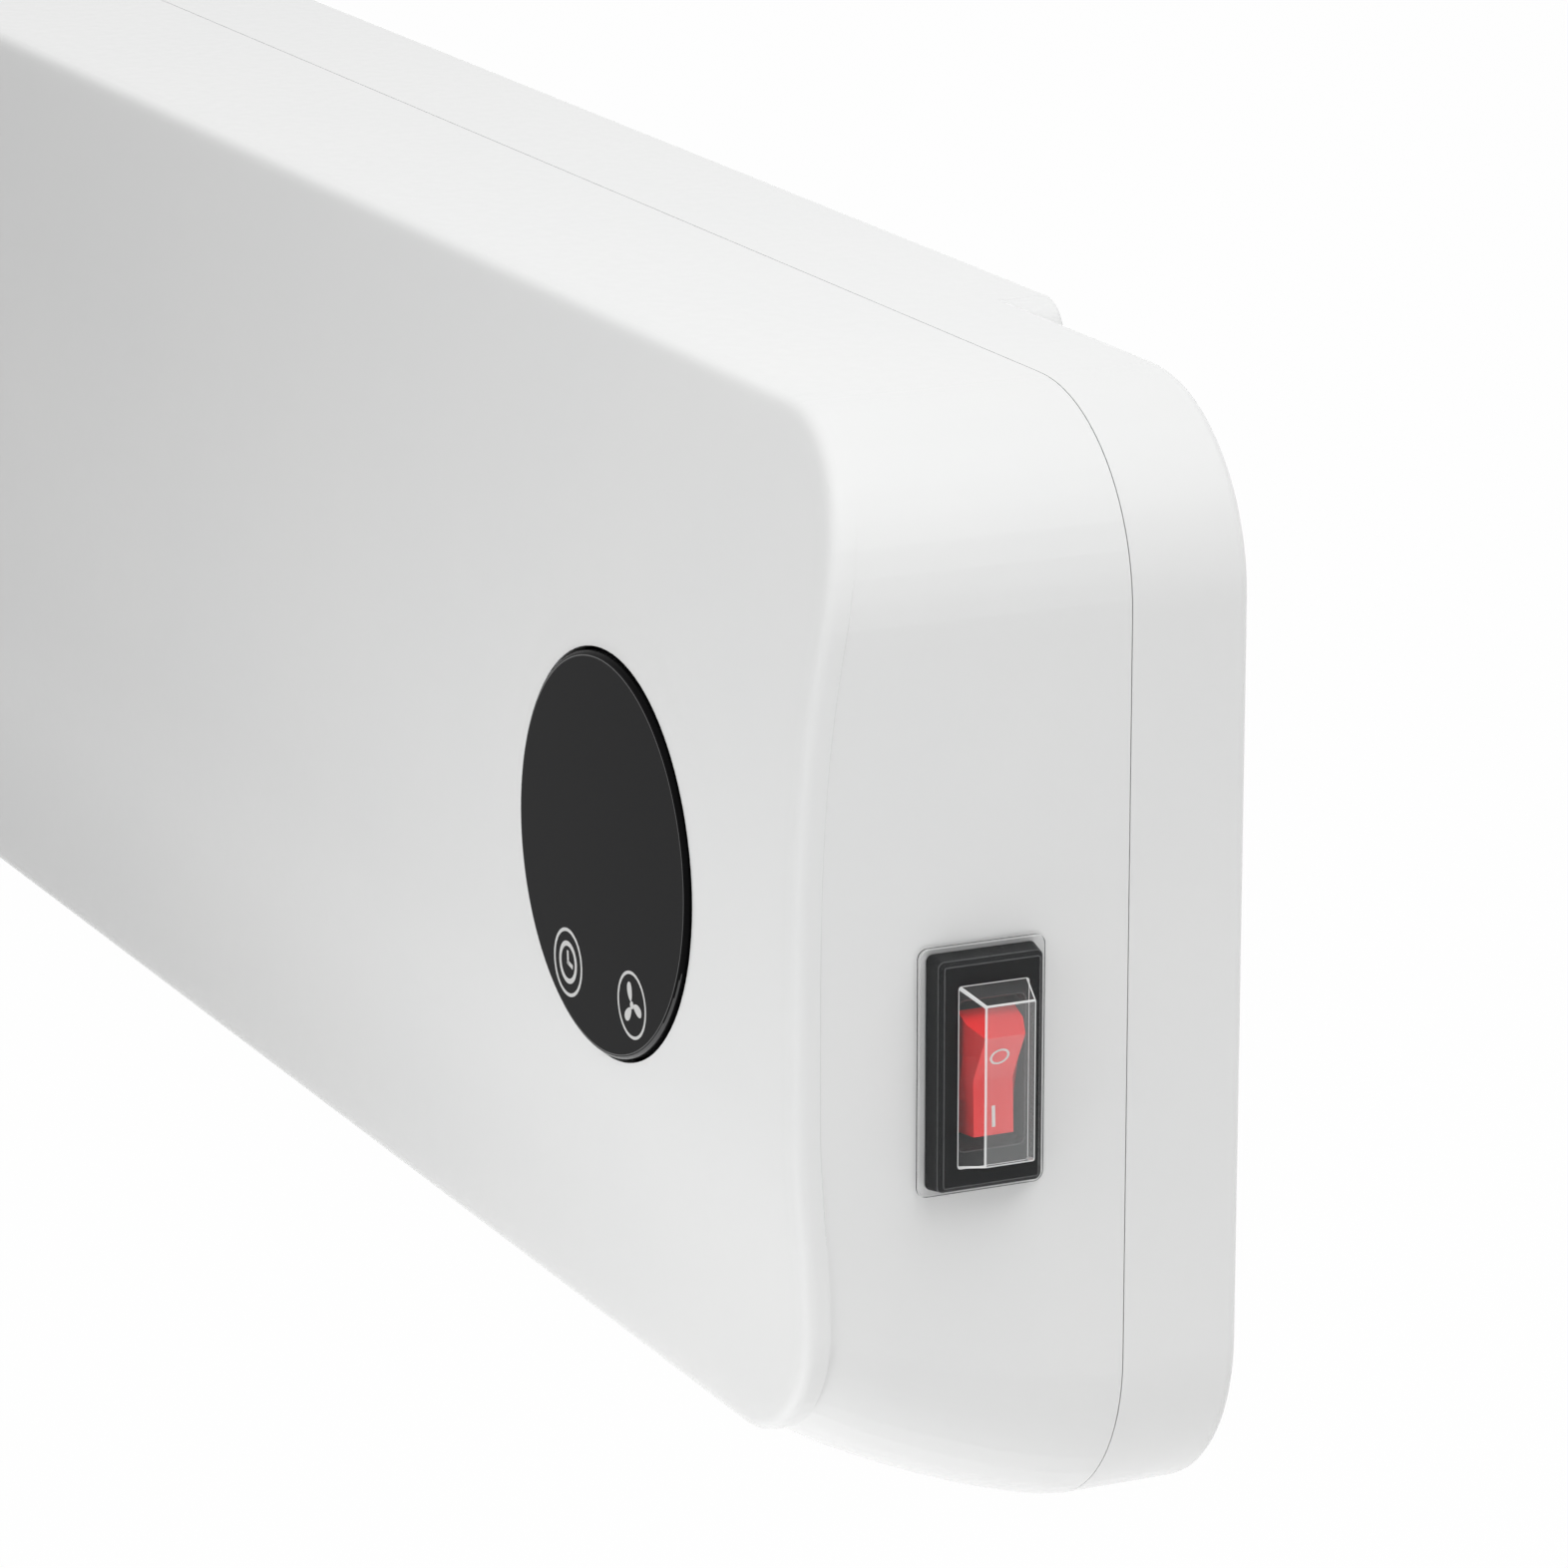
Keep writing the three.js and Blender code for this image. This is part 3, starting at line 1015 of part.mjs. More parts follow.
function controlBoard() {
  const back = REAR_DEPTH - WALL - BOARD_STANDOFF - FIT;
  const front = back - BOARD_WALL;
  const plate = box(BOARD_LEFT, BOARD_RIGHT, front, back, BOARD_BOTTOM, BOARD_TOP);
  const holes = boardScrewPlaces().map(([x, z]) => alongY(circle(x, z, 1.2 + FIT), front - 1, back + 1, 10));
  piece('control_board', combine([plate], holes), fibreBoard());
  const face = front - FIT;
  const part = (name, material, x, z, width, depth, height) => {
    piece(name, box(x, x + width, face - depth, face, z, z + height), material);
  };
  const relayLeft = BOARD_LEFT + 2 * BOARD_SCREW_INSET;
  const relayLow = BOARD_BOTTOM + BOARD_SCREW_INSET;
  const relay = finish(0x2f6fb0, 0.4);
  part('relay_1', relay, relayLeft, relayLow, RELAY_WIDTH, RELAY_DEPTH, RELAY_HEIGHT);
  part('relay_2', relay, relayLeft + RELAY_WIDTH + PART_GAP, relayLow, RELAY_WIDTH, RELAY_DEPTH, RELAY_HEIGHT);
  const secondRow = relayLow + RELAY_HEIGHT + PART_GAP;
  part('capacitor', finish(0xc9a23a, 0.5), relayLeft, secondRow, CAPACITOR_WIDTH, CAPACITOR_DEPTH, CAPACITOR_HEIGHT);
  const moduleLeft = relayLeft + CAPACITOR_WIDTH + PART_GAP;
  part('power_module', finish(0x2a2a2c, 0.4), moduleLeft, secondRow, MODULE_WIDTH, MODULE_DEPTH, MODULE_HEIGHT);
  const blockLow = secondRow + MODULE_HEIGHT + PART_GAP;
  const blockTop = blockLow + TERMINAL_HEIGHT;
  const body = box(relayLeft, relayLeft + TERMINAL_WIDTH, face - TERMINAL_DEPTH, face, blockLow, blockTop);
  const pitch = TERMINAL_WIDTH / TERMINAL_WAYS;
  const ways = [];
  for (let i = 0; i < TERMINAL_WAYS; i += 1) {
    const x = relayLeft + (i + 0.5) * pitch;
    const [low, high] = [blockLow - 1, blockLow + TERMINAL_HEIGHT * 0.6];
    ways.push(box(x - TERMINAL_WAY / 2, x + TERMINAL_WAY / 2, face - TERMINAL_DEPTH * 0.7, face - 3, low, high));
  }
  piece('terminal_block', combine([body], ways), finish(0x3f8f4f, 0.5));
  boardScrewPlaces().forEach(([x, z], i) => {
    const screw = turned([[0, 0], [1.2, 0.8], [1.2, BOARD_WALL + FIT + 5], [2.6, BOARD_WALL + FIT + 5],
      [2.2, BOARD_WALL + FIT + 6.4], [0, BOARD_WALL + FIT + 6.4]], 8);
    piece(`board_screw_${i + 1}`, turnedTo(screw, Y.clone().negate()), steel()).position.set(x, back + 5, z);
  });
}

frontHousing();
rearHousing();
intakeGrille();
caseScrews();
standoffPads();
cableGland();
display();
switchCover();
switchBody();
switchRocker();
switchTerminals();
airGuides();
ductEnds();
louvre();
impeller();
shafts();
motor();
heatingElements();
controlBoard();

export default heater;
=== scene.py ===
"""Looks of a bathroom wall fan heater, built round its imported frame.

Lengths in the classes are millimetres in the case's own axes: x runs along the case to the end with the
switch, y = 0 is the joint line between the two mouldings (front is -y), z = 0 is the lowest line.
"""

from __future__ import annotations

import logging
import math
from dataclasses import dataclass
from enum import Enum
from typing import Callable, ClassVar, Iterable, Sequence

import bmesh
import bpy
from mathutils import Matrix, Vector

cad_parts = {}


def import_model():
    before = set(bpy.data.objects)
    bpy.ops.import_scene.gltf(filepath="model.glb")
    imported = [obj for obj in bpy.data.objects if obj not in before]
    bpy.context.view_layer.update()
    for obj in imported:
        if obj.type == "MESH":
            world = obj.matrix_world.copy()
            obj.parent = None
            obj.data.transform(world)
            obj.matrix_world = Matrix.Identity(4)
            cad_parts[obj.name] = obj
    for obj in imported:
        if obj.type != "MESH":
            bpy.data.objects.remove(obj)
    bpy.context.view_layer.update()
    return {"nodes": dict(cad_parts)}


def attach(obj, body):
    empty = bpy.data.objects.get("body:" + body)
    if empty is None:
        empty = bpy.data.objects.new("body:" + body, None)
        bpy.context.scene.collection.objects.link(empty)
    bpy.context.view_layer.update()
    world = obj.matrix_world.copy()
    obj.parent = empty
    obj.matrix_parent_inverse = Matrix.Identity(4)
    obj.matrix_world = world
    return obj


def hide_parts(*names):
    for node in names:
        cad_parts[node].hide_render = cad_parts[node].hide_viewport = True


log = logging.getLogger("wall_heater")

CASE_TO_WALL = Vector((0.0, -30.6, -176.0))  # the case's origin, in millimetres from the wall mount
MM = 0.001
FIT = 0.3  # clearance between pieces, in millimetres
Point = Sequence[float]
Piece = bpy.types.Object


class Body(Enum):
    """The bodies of the frame that new pieces ride on."""

    HEATER = "heater"
    LOUVRE = "louvre"
    ROCKER = "rocker"


class Axis(Enum):
    """A row axis, by its index."""

    X = 0
    Y = 1
    Z = 2


# ------------------------------------------------------------------ finishes


def linear(code: str) -> tuple[float, float, float, float]:
    """Turn an sRGB hex code into a linear colour.

    Args:
        code: Six hex digits, with or without a leading #.

    Returns:
        Red, green, blue and alpha, linear.
    """
    digits = code.lstrip("#")
    channels = [int(digits[i : i + 2], 16) / 255 for i in (0, 2, 4)]
    bent = [c / 12.92 if c <= 0.04045 else ((c + 0.055) / 1.055) ** 2.4 for c in channels]
    return (bent[0], bent[1], bent[2], 1.0)


def add_node(tree: bpy.types.NodeTree, kind: str, inputs: dict | None = None, **settings) -> bpy.types.Node:
    """Add a node, set its fields and fill or link its inputs.

    Args:
        tree: Node tree to add to.
        kind: Node type.
        inputs: Input name or index to a value, or to the output socket that feeds it.
        settings: Fields of the node itself.

    Returns:
        The new node.
    """
    node = tree.nodes.new(kind)
    for name, value in settings.items():
        setattr(node, name, value)
    for name, value in (inputs or {}).items():
        if isinstance(value, bpy.types.NodeSocket):
            tree.links.new(value, node.inputs[name])
        else:
            node.inputs[name].default_value = value
    return node


@dataclass(frozen=True)
class Finish:
    """A surface: what it is made of and how it was made."""

    title: str
    colour: str
    tint: str
    roughness: float
    roughness_swing: float = 0.04
    grain_mm: float = 0.8
    relief_mm: float = 0.01
    mottle_mm: float = 60.0
    metallic: float = 0.0
    ior: float = 1.5
    specular: float = 0.5
    subsurface: float = 0.0
    # painted glow: emission that brightens a part which is no lamp
    painted_glow: float = 0.0
    alpha: float = 1.0
    stretch: tuple[float, float, float] = (1.0, 1.0, 1.0)

    def material(self) -> bpy.types.Material:
        """Make the material, or hand back the one already made.

        Returns:
            The node-based material.
        """
        made = bpy.data.materials.get(self.title)
        if made is not None:
            return made
        made = bpy.data.materials.new(self.title)
        made.use_nodes = True
        tree = made.node_tree
        tree.nodes.clear()
        place = add_node(tree, "ShaderNodeTexCoord")
        spread = add_node(tree, "ShaderNodeMapping", {"Vector": place.outputs["Object"], "Scale": self.stretch})
        mottle = self.noise(tree, spread.outputs["Vector"], self.mottle_mm, 3.0)
        grain = self.noise(tree, spread.outputs["Vector"], self.grain_mm, 2.0)
        shade = add_node(
            tree, "ShaderNodeMix", {"Factor": mottle.outputs["Fac"], 6: linear(self.colour), 7: linear(self.tint)},
            data_type="RGBA",
        )
        polish = add_node(tree, "ShaderNodeMapRange", {
            "Value": grain.outputs["Fac"], "From Min": 0.3, "From Max": 0.7,
            "To Min": max(self.roughness - self.roughness_swing, 0.02),
            "To Max": min(self.roughness + self.roughness_swing, 1.0),
        })
        bump = add_node(tree, "ShaderNodeBump", {
            "Height": grain.outputs["Fac"], "Strength": 1.0, "Distance": self.relief_mm * MM,
        })
        shader = add_node(tree, "ShaderNodeBsdfPrincipled", {
            "Base Color": shade.outputs[2], "Roughness": polish.outputs["Result"], "Normal": bump.outputs["Normal"],
            "Metallic": self.metallic, "IOR": self.ior, "Specular IOR Level": self.specular,
            "Subsurface Weight": self.subsurface, "Emission Color": linear(self.colour),
            "Emission Strength": self.painted_glow, "Alpha": self.alpha,
        })
        if self.subsurface:
            shader.inputs["Subsurface Scale"].default_value = 2.0 * MM
        add_node(tree, "ShaderNodeOutputMaterial", {"Surface": shader.outputs["BSDF"]})
        return made

    @staticmethod
    def noise(tree: bpy.types.NodeTree, vector: bpy.types.NodeSocket, size_mm: float, detail: float) -> bpy.types.Node:
        """Add noise whose cells are about size_mm across.

        Args:
            tree: Node tree to add to.
            vector: Position in metres.
            size_mm: Real width of one cell.
            detail: Octaves of finer noise on top.

        Returns:
            The noise node.
        """
        return add_node(tree, "ShaderNodeTexNoise", {"Vector": vector, "Scale": 1000.0 / size_mm, "Detail": detail})

    def dress(self, *objects: Piece) -> None:
        """Give the finish to every object named.

        Args:
            objects: Mesh objects, whose old materials go.
        """
        made = self.material()
        for obj in objects:
            obj.data.materials.clear()
            obj.data.materials.append(made)


# Injection-moulded ABS: a polished mould leaves a high gloss with a faint ripple.
WHITE_ABS = Finish("abs_gloss_white_moulded", "#F1F1F0", "#EDEEEE", 0.16, 0.03, 3.0, 0.004, ior=1.53)
# Inside faces and the grille come from an unpolished mould side.
WHITE_ABS_SATIN = Finish("abs_satin_white_moulded", "#ECECEA", "#E6E7E6", 0.38, 0.06, 1.2, 0.01, ior=1.53)
# Glass painted black behind: deep colour, very flat front.
BLACK_GLASS = Finish("glass_black_backed_float", "#181819", "#1A1A1B", 0.2, 0.03, 6.0, 0.001, specular=0.02)
# The glass's bevel is painted lighter than its front: painted reflection of the room, so the rim reads as a thin
# lighter line.
GLASS_EDGE_SHEEN = Finish("glass_black_ground_edge", "#363637", "#404041", 0.22, 0.05, 1.0, 0.004, specular=0.4)
# The glass's upright side is painted darker than its front: painted shade.
GLASS_SIDE_SHADE = Finish("glass_black_painted_side", "#0B0B0C", "#0E0E0F", 0.3, 0.05, 1.0, 0.004, specular=0.03)
# Matt ink under a soft light: pale grey, so that it doesn't glare on the black.
PRINT_GREY = Finish("screen_print_light_grey_ink", "#DCDCDB", "#D2D2D1", 0.55, 0.05, 0.5, 0.004)
# Flexible PVC cap: a skin so thin that light passes straight on, with a trace of gloss.
CLEAR_PVC = Finish("pvc_clear_soft_moulded", "#F4F6F6", "#EEF1F1", 0.3, 0.03, 2.5, 0.0, ior=1.45, alpha=0.01)
# The dome's flats are made partly opaque white as painted reflection, which veils the key behind them: more on the
# front, less on the flanks.
PVC_FRONT_SHEEN = Finish("pvc_clear_dome_front", "#F4F6F6", "#EEF1F1", 0.12, 0.03, 2.5, 0.01, ior=1.45, alpha=0.2)
PVC_FLANK_SHEEN = Finish("pvc_clear_dome_flank", "#F4F6F6", "#EEF1F1", 0.12, 0.03, 2.5, 0.01, ior=1.45, alpha=0.06)
# The cap's rounded edges, the flange's outer sides and the dome's foot are painted nearly opaque white as fine bright
# lines: painted highlight.
PVC_EDGE_HIGHLIGHT = Finish("pvc_clear_rounded_edge", "#FFFFFF", "#F6F8F8", 0.12, 0.03, 1.5, 0.006, ior=1.45, alpha=0.75)
# Fine spark-eroded mould texture keeps the bezel from shining.
BLACK_NYLON = Finish("nylon_black_spark_eroded", "#151617", "#1A1B1C", 0.4, 0.05, 0.5, 0.002, specular=0.1)
# The bezel's fine bevel strips are painted lighter grey as a thin line of painted highlight.
NYLON_EDGE_HIGHLIGHT = Finish("nylon_black_polished_edge", "#444546", "#3E3F40", 0.3, 0.05, 0.5, 0.004, specular=0.5)
# Where the cap's rim meets the wall its sides are painted dark: painted shade for the contact shadow and for the black
# bezel seen through the rim.
PVC_SHADE = Finish("pvc_clear_rim_over_black", "#2E2F30", "#343536", 0.3, 0.05, 0.8, 0.004, ior=1.45, specular=0.3)
# Red translucent polycarbonate: light scatters a little way in, and a faint emission is painted glow that brightens the
# key, which is no lit lamp.
RED_PC = Finish(
    "polycarbonate_red_translucent", "#EE1216", "#DE0D12", 0.16, 0.03, 2.0, 0.004, ior=1.58, subsurface=0.3, painted_glow=0.11
)
# The key's flanks take a darker red as painted shade from the well, with less painted glow.
RED_FLANK_SHADE = Finish(
    "polycarbonate_red_flank", "#C4060C", "#B0050A", 0.3, 0.03, 2.0, 0.004, ior=1.58, specular=0.1, painted_glow=0.04
)
# Pad-printed ink: matt and slightly warm against the red.
WHITE_PRINT = Finish("pad_print_white_ink", "#F2F0EE", "#E6E4E2", 0.5, 0.05, 0.5, 0.003)
# Heat-proof duct plastic: dull grey with a fine grain.
GREY_PBT = Finish("pbt_grey_satin_moulded", "#A9AAA8", "#9FA09F", 0.5, 0.06, 0.8, 0.015)
# Dark, dull plastic in which the blades part by their shading alone.
BLACK_PBT = Finish("pbt_black_satin_moulded", "#202123", "#2A2B2D", 0.5, 0.08, 0.8, 0.02)
# Rubber swallows light: nearly black, with no shine.
RUBBER = Finish("nitrile_rubber_black_moulded", "#222223", "#2D2D2E", 0.82, 0.06, 0.6, 0.03)
# Zinc plating: bright cold metal, drawn out a little along z.
ZINC_STEEL = Finish(
    "steel_zinc_plated_bright", "#BFC3C7", "#A9AEB3", 0.32, 0.1, 0.9, 0.006, metallic=1.0, stretch=(1.0, 1.0, 6.0)
)
# Stacked sheets: dark steel with a grain across the stack.
LAMINATED = Finish(
    "silicon_steel_laminated", "#74787C", "#5F6367", 0.5, 0.1, 0.5, 0.03, metallic=1.0, stretch=(8.0, 1.0, 1.0)
)
# Wound wire: reddish metal with ridges that run round the coil.
COPPER = Finish(
    "copper_enamelled_wound", "#A8522A", "#7E3518", 0.34, 0.08, 0.6, 0.12, metallic=0.9, stretch=(1.0, 0.15, 1.0)
)
# Stamped strip and pressed bush: warm yellow with soft highlights.
BRASS = Finish("brass_stamped", "#C8A24E", "#B08A3C", 0.34, 0.08, 0.9, 0.006, metallic=1.0)
# Rolled fins: pale metal with streaks along the roll.
ALUMINIUM = Finish(
    "aluminium_rolled_mill", "#C9CCCF", "#B5B9BD", 0.4, 0.1, 0.9, 0.01, metallic=1.0, stretch=(0.3, 1.0, 1.0)
)
# Solder mask: deep green with a low sheen.
FIBRE_BOARD = Finish("fr4_green_solder_masked", "#1F5A36", "#184A2B", 0.36, 0.06, 1.5, 0.01, specular=0.5)
# Moulded parts of the board, told apart by their usual colours.
RELAY_BLUE = Finish("pbt_blue_satin_moulded", "#2C66A0", "#265A90", 0.45, 0.05, 0.8, 0.01)
FILM_YELLOW = Finish("polypropylene_yellow_cast", "#C69B34", "#B88D2C", 0.45, 0.05, 0.8, 0.01)
TERMINAL_GREEN = Finish("polyamide_green_moulded", "#3E8A4E", "#357C45", 0.48, 0.05, 0.8, 0.01)
# Pressed phenolic: brown and dry.
HEAT_DARK = Finish("phenolic_brown_pressed", "#3B342D", "#2F2924", 0.6, 0.08, 0.7, 0.03)
# Smoked window over digits that are off: a dark grey shine.
SMOKED = Finish("polycarbonate_smoked_moulded", "#2A2A2C", "#343436", 0.3, 0.05, 0.8, 0.005)


# ------------------------------------------------------------------ bench tools


class Bench:
    """Bench work on meshes: primitives, picking, edit tools and finishing, with lengths in case millimetres."""

    @staticmethod
    def clear() -> None:
        """Leave nothing selected."""
        for obj in list(bpy.context.selected_objects):
            obj.select_set(False)

    @staticmethod
    def spot(point: Point) -> Vector:
        """Turn a point of the case into metres from the wall."""
        return (Vector(point) + CASE_TO_WALL) * MM

    @classmethod
    def take(cls, obj: Piece) -> None:
        """Select one object alone and make it active.

        Args:
            obj: The object.
        """
        cls.clear()
        obj.select_set(True)
        bpy.context.view_layer.objects.active = obj

    @classmethod
    def settle(cls, obj: Piece) -> Piece:
        """Move an object's place, turn and scale into its mesh.

        Args:
            obj: The object.

        Returns:
            The same object, unturned and unscaled at the origin.
        """
        cls.take(obj)
        bpy.ops.object.transform_apply(location=True, rotation=True, scale=True)
        return obj

    @classmethod
    def block(cls, name: str, low: Point, high: Point) -> Piece:
        """Add a rectangular block between two corners.

        Args:
            name: Name of the new piece.
            low: Lowest corner, in case millimetres.
            high: Highest corner, in case millimetres.

        Returns:
            The block, with its place in its mesh.
        """
        cls.clear()
        a, b = cls.spot(low), cls.spot(high)
        bpy.ops.mesh.primitive_cube_add(size=1.0, location=(a + b) / 2)
        obj = bpy.context.active_object
        obj.name = obj.data.name = name
        obj.scale = b - a
        return cls.settle(obj)

    @classmethod
    def drum(
        cls, name: str, centre: Point, radius: float, length: float, axis: Axis = Axis.Z, sides: int = 64
    ) -> Piece:
        """Add a cylinder.

        Args:
            name: Name of the new piece.
            centre: Its middle, in case millimetres.
            radius: Radius in millimetres.
            length: Length in millimetres.
            axis: Direction of its axis.
            sides: Number of side faces.

        Returns:
            The cylinder, with its place in its mesh.
        """
        cls.clear()
        turn = {Axis.X: (0, math.pi / 2, 0), Axis.Y: (math.pi / 2, 0, 0), Axis.Z: (0, 0, 0)}[axis]
        bpy.ops.mesh.primitive_cylinder_add(
            vertices=sides, radius=radius * MM, depth=length * MM, location=cls.spot(centre), rotation=turn
        )
        obj = bpy.context.active_object
        obj.name = obj.data.name = name
        return cls.settle(obj)

    @classmethod
    def pick(cls, obj: Piece, kind: str, test: Callable) -> int:
        """Enter edit mode and select the elements that pass a test.

        Args:
            obj: Mesh object.
            kind: VERT, EDGE or FACE.
            test: Given a bmesh element, says whether it is wanted.

        Returns:
            How many were selected.
        """
        cls.take(obj)
        bpy.ops.object.mode_set(mode="EDIT")
        bpy.ops.mesh.select_mode(type=kind)
        bpy.ops.mesh.select_all(action="DESELECT")
        mesh = bmesh.from_edit_mesh(obj.data)
        items = {"VERT": mesh.verts, "EDGE": mesh.edges, "FACE": mesh.faces}[kind]
        count = 0
        for item in items:
            if test(item):
                item.select_set(True)
                count += 1
        bmesh.update_edit_mesh(obj.data)
        return count

    @staticmethod
    def leave() -> None:
        """Go back to object mode."""
        bpy.ops.object.mode_set(mode="OBJECT")

    @classmethod
    def round_edges(cls, obj: Piece, test: Callable, width: float, segments: int) -> None:
        """Bevel the edges that pass a test.

        Args:
            obj: Mesh object.
            test: Given an edge, says whether it is bevelled.
            width: Width of the bevel, in millimetres.
            segments: Number of steps across it.
        """
        cls.pick(obj, "EDGE", test)
        bpy.ops.mesh.bevel(offset=width * MM, segments=segments, profile=0.5, affect="EDGES", clamp_overlap=True)
        cls.leave()

    @classmethod
    def slice_up(cls, obj: Piece, axis: Axis, places: Iterable[float]) -> None:
        """Score a mesh across at several places, without parting it.

        Args:
            obj: Mesh object.
            axis: Direction along which the places are measured.
            places: Case millimetres along that axis.
        """
        cls.pick(obj, "FACE", lambda face: True)
        normal = [0.0, 0.0, 0.0]
        normal[axis.value] = 1.0
        for place in places:
            bpy.ops.mesh.select_all(action="SELECT")
            point = [0.0, 0.0, 0.0]
            point[axis.value] = place
            bpy.ops.mesh.bisect(plane_co=cls.spot(point), plane_no=normal, use_fill=False)
        cls.leave()

    @staticmethod
    def shape(obj: Piece, rule: Callable[[Vector], Vector]) -> None:
        """Move every vertex by a rule given in case millimetres.

        Args:
            obj: Mesh object.
            rule: Given a place, says where it goes.
        """
        for vertex in obj.data.vertices:
            place = vertex.co / MM - CASE_TO_WALL
            vertex.co = (rule(place) + CASE_TO_WALL) * MM
        obj.data.update()

    @classmethod
    def modify(cls, obj: Piece, kind: str, **settings) -> None:
        """Add a modifier, set it and apply it.

        Args:
            obj: Mesh object.
            kind: Modifier type.
            settings: The modifier's fields.
        """
        cls.take(obj)
        modifier = obj.modifiers.new(kind.lower(), kind)
        for name, value in settings.items():
            setattr(modifier, name, value)
        bpy.ops.object.modifier_apply(modifier=modifier.name)

    @classmethod
    def boolean(cls, obj: Piece, tools: Iterable[Piece], operation: str = "DIFFERENCE") -> None:
        """Cut or join an object with others, which are used up.

        Args:
            obj: The piece that stays.
            tools: The cutters or additions.
            operation: DIFFERENCE, UNION or INTERSECT.
        """
        for tool in tools:
            cls.modify(obj, "BOOLEAN", object=tool, operation=operation, solver="EXACT")
            bpy.data.objects.remove(tool, do_unlink=True)

    @staticmethod
    def level(obj: Piece, area: float, least: float = 5.0, lean: float = 13.0) -> None:
        """Clear the shading that joins and bevels leave on a moulding.

        Args:
            obj: Mesh object.
            area: Square millimetres from which an upright or level flat gives the corners round it its own normal.
            least: Square millimetres from which a face keeps its corners' normals near its own.
            lean: Degrees that such a corner may lean from its face.
        """
        mesh = obj.data
        normals = [corner.vector.copy() for corner in mesh.corner_normals]
        flats: dict[int, list[Vector]] = {}
        for face in mesh.polygons:
            if face.area > area * MM * MM and max(abs(c) for c in face.normal) > 0.9999:
                for vertex in face.vertices:
                    flats.setdefault(vertex, []).append(face.normal.copy())
        for loop in mesh.loops:
            for flat in flats.get(loop.vertex_index, []):
                if flat.dot(normals[loop.index]) > 0.9:
                    normals[loop.index] = flat
        for face in mesh.polygons:
            if face.area > least * MM * MM:
                for index in face.loop_indices:
                    if face.normal.dot(normals[index]) < math.cos(math.radians(lean)):
                        normals[index] = face.normal.copy()
        mesh.normals_split_custom_set(normals)

    @classmethod
    def soften(cls, obj: Piece, width: float, segments: int = 2, angle: float = 35.0) -> None:
        """Break the sharp edges and shade the piece smooth.

        Args:
            obj: Mesh object.
            width: Width of the broken edge, in millimetres; 0 leaves the edges.
            segments: Steps across it.
            angle: Degrees from which an edge counts as sharp.
        """
        if width > 0:
            cls.modify(
                obj, "BEVEL", width=width * MM, segments=segments, limit_method="ANGLE",
                angle_limit=math.radians(angle), use_clamp_overlap=True, harden_normals=False,
            )
        cls.take(obj)
        bpy.ops.object.shade_smooth_by_angle(angle=math.radians(angle))
        cls.modify(obj, "WEIGHTED_NORMAL", weight=50, keep_sharp=True)

    @classmethod
    def swing(cls, obj: Piece, place: Point, angle: float, axis: Axis = Axis.Y) -> Piece:
        """Turn a piece's mesh by an angle in radians about a line through a place of the case.

        Args:
            obj: Mesh object.
            place: A place on the line.
            angle: Radians.
            axis: Direction of the line.

        Returns:
            The same object.
        """
        pivot = cls.spot(place)
        obj.data.transform(
            Matrix.Translation(pivot) @ Matrix.Rotation(angle, 4, axis.name) @ Matrix.Translation(-pivot)
        )
        return obj

    @classmethod
    def repeat(cls, obj: Piece, count: int, step: Point) -> None:
        """Set copies of a piece in a row, step millimetres apart."""
        cls.modify(obj, "ARRAY", count=count, use_relative_offset=False, use_constant_offset=True,
                   constant_offset_displace=[length * MM for length in step])

    @classmethod
    def copy(cls, obj: Piece, name: str, shift: Point) -> Piece:
        """Copy a piece with a mesh of its own, moved by shift millimetres.

        Args:
            obj: The piece.
            name: Name of the copy.
            shift: How far it moves.

        Returns:
            The copy.
        """
        twin = obj.copy()
        twin.data = obj.data.copy()
        twin.name = twin.data.name = name
        bpy.context.collection.objects.link(twin)
        twin.data.transform(Matrix.Translation(Vector(shift) * MM))
        return twin


def along(axis: Axis) -> Callable:
    """Make a test for edges that run along an axis.

    Args:
        axis: Direction of the edges.

    Returns:
        The test.
    """

    def test(edge: bmesh.types.BMEdge) -> bool:
        """Say whether the edge runs along the axis."""
        run = (edge.verts[1].co - edge.verts[0].co).normalized()
        return abs(abs(run[axis.value]) - 1) < 1e-4

    return test


def at(axis: Axis, place: float) -> Callable:
    """Make a test for edges or faces that lie wholly at one place along an axis, in case millimetres.

    Args:
        axis: Direction in which the place is measured.
        place: Case millimetres along it.

    Returns:
        The test.
    """
    level = place + CASE_TO_WALL[axis.value]

    def test(item: bmesh.types.BMEdge | bmesh.types.BMFace) -> bool:
        """Say whether every corner lies at the place."""
        return all(abs(v.co[axis.value] / MM - level) < 0.01 for v in item.verts)

    return test


def trim(obj: Piece, finish: Finish, faces: Iterable[int]) -> None:
    """Give some faces of a dressed piece a finish of their own.

    Args:
        obj: A piece that already has its main finish.
        finish: Surface of the faces.
        faces: Their indices.
    """
    obj.data.materials.append(finish.material())
    slot = len(obj.data.materials) - 1
    for index in faces:
        obj.data.polygons[index].material_index = slot


def thin_faces(obj: Piece, width: float) -> list[int]:
    """List the faces narrower than width, in millimetres: the strips that a fine bevel leaves.

    Args:
        obj: Mesh object.
        width: Width in millimetres.

    Returns:
        The indices of the faces.
    """
    found = []
    for face in obj.data.polygons:
        places = [obj.data.vertices[index].co for index in face.vertices]
        longest = max((a - b).length for a, b in zip(places, places[1:] + places[:1]))
        if face.area < width * MM * longest:
            found.append(face.index)
    return found


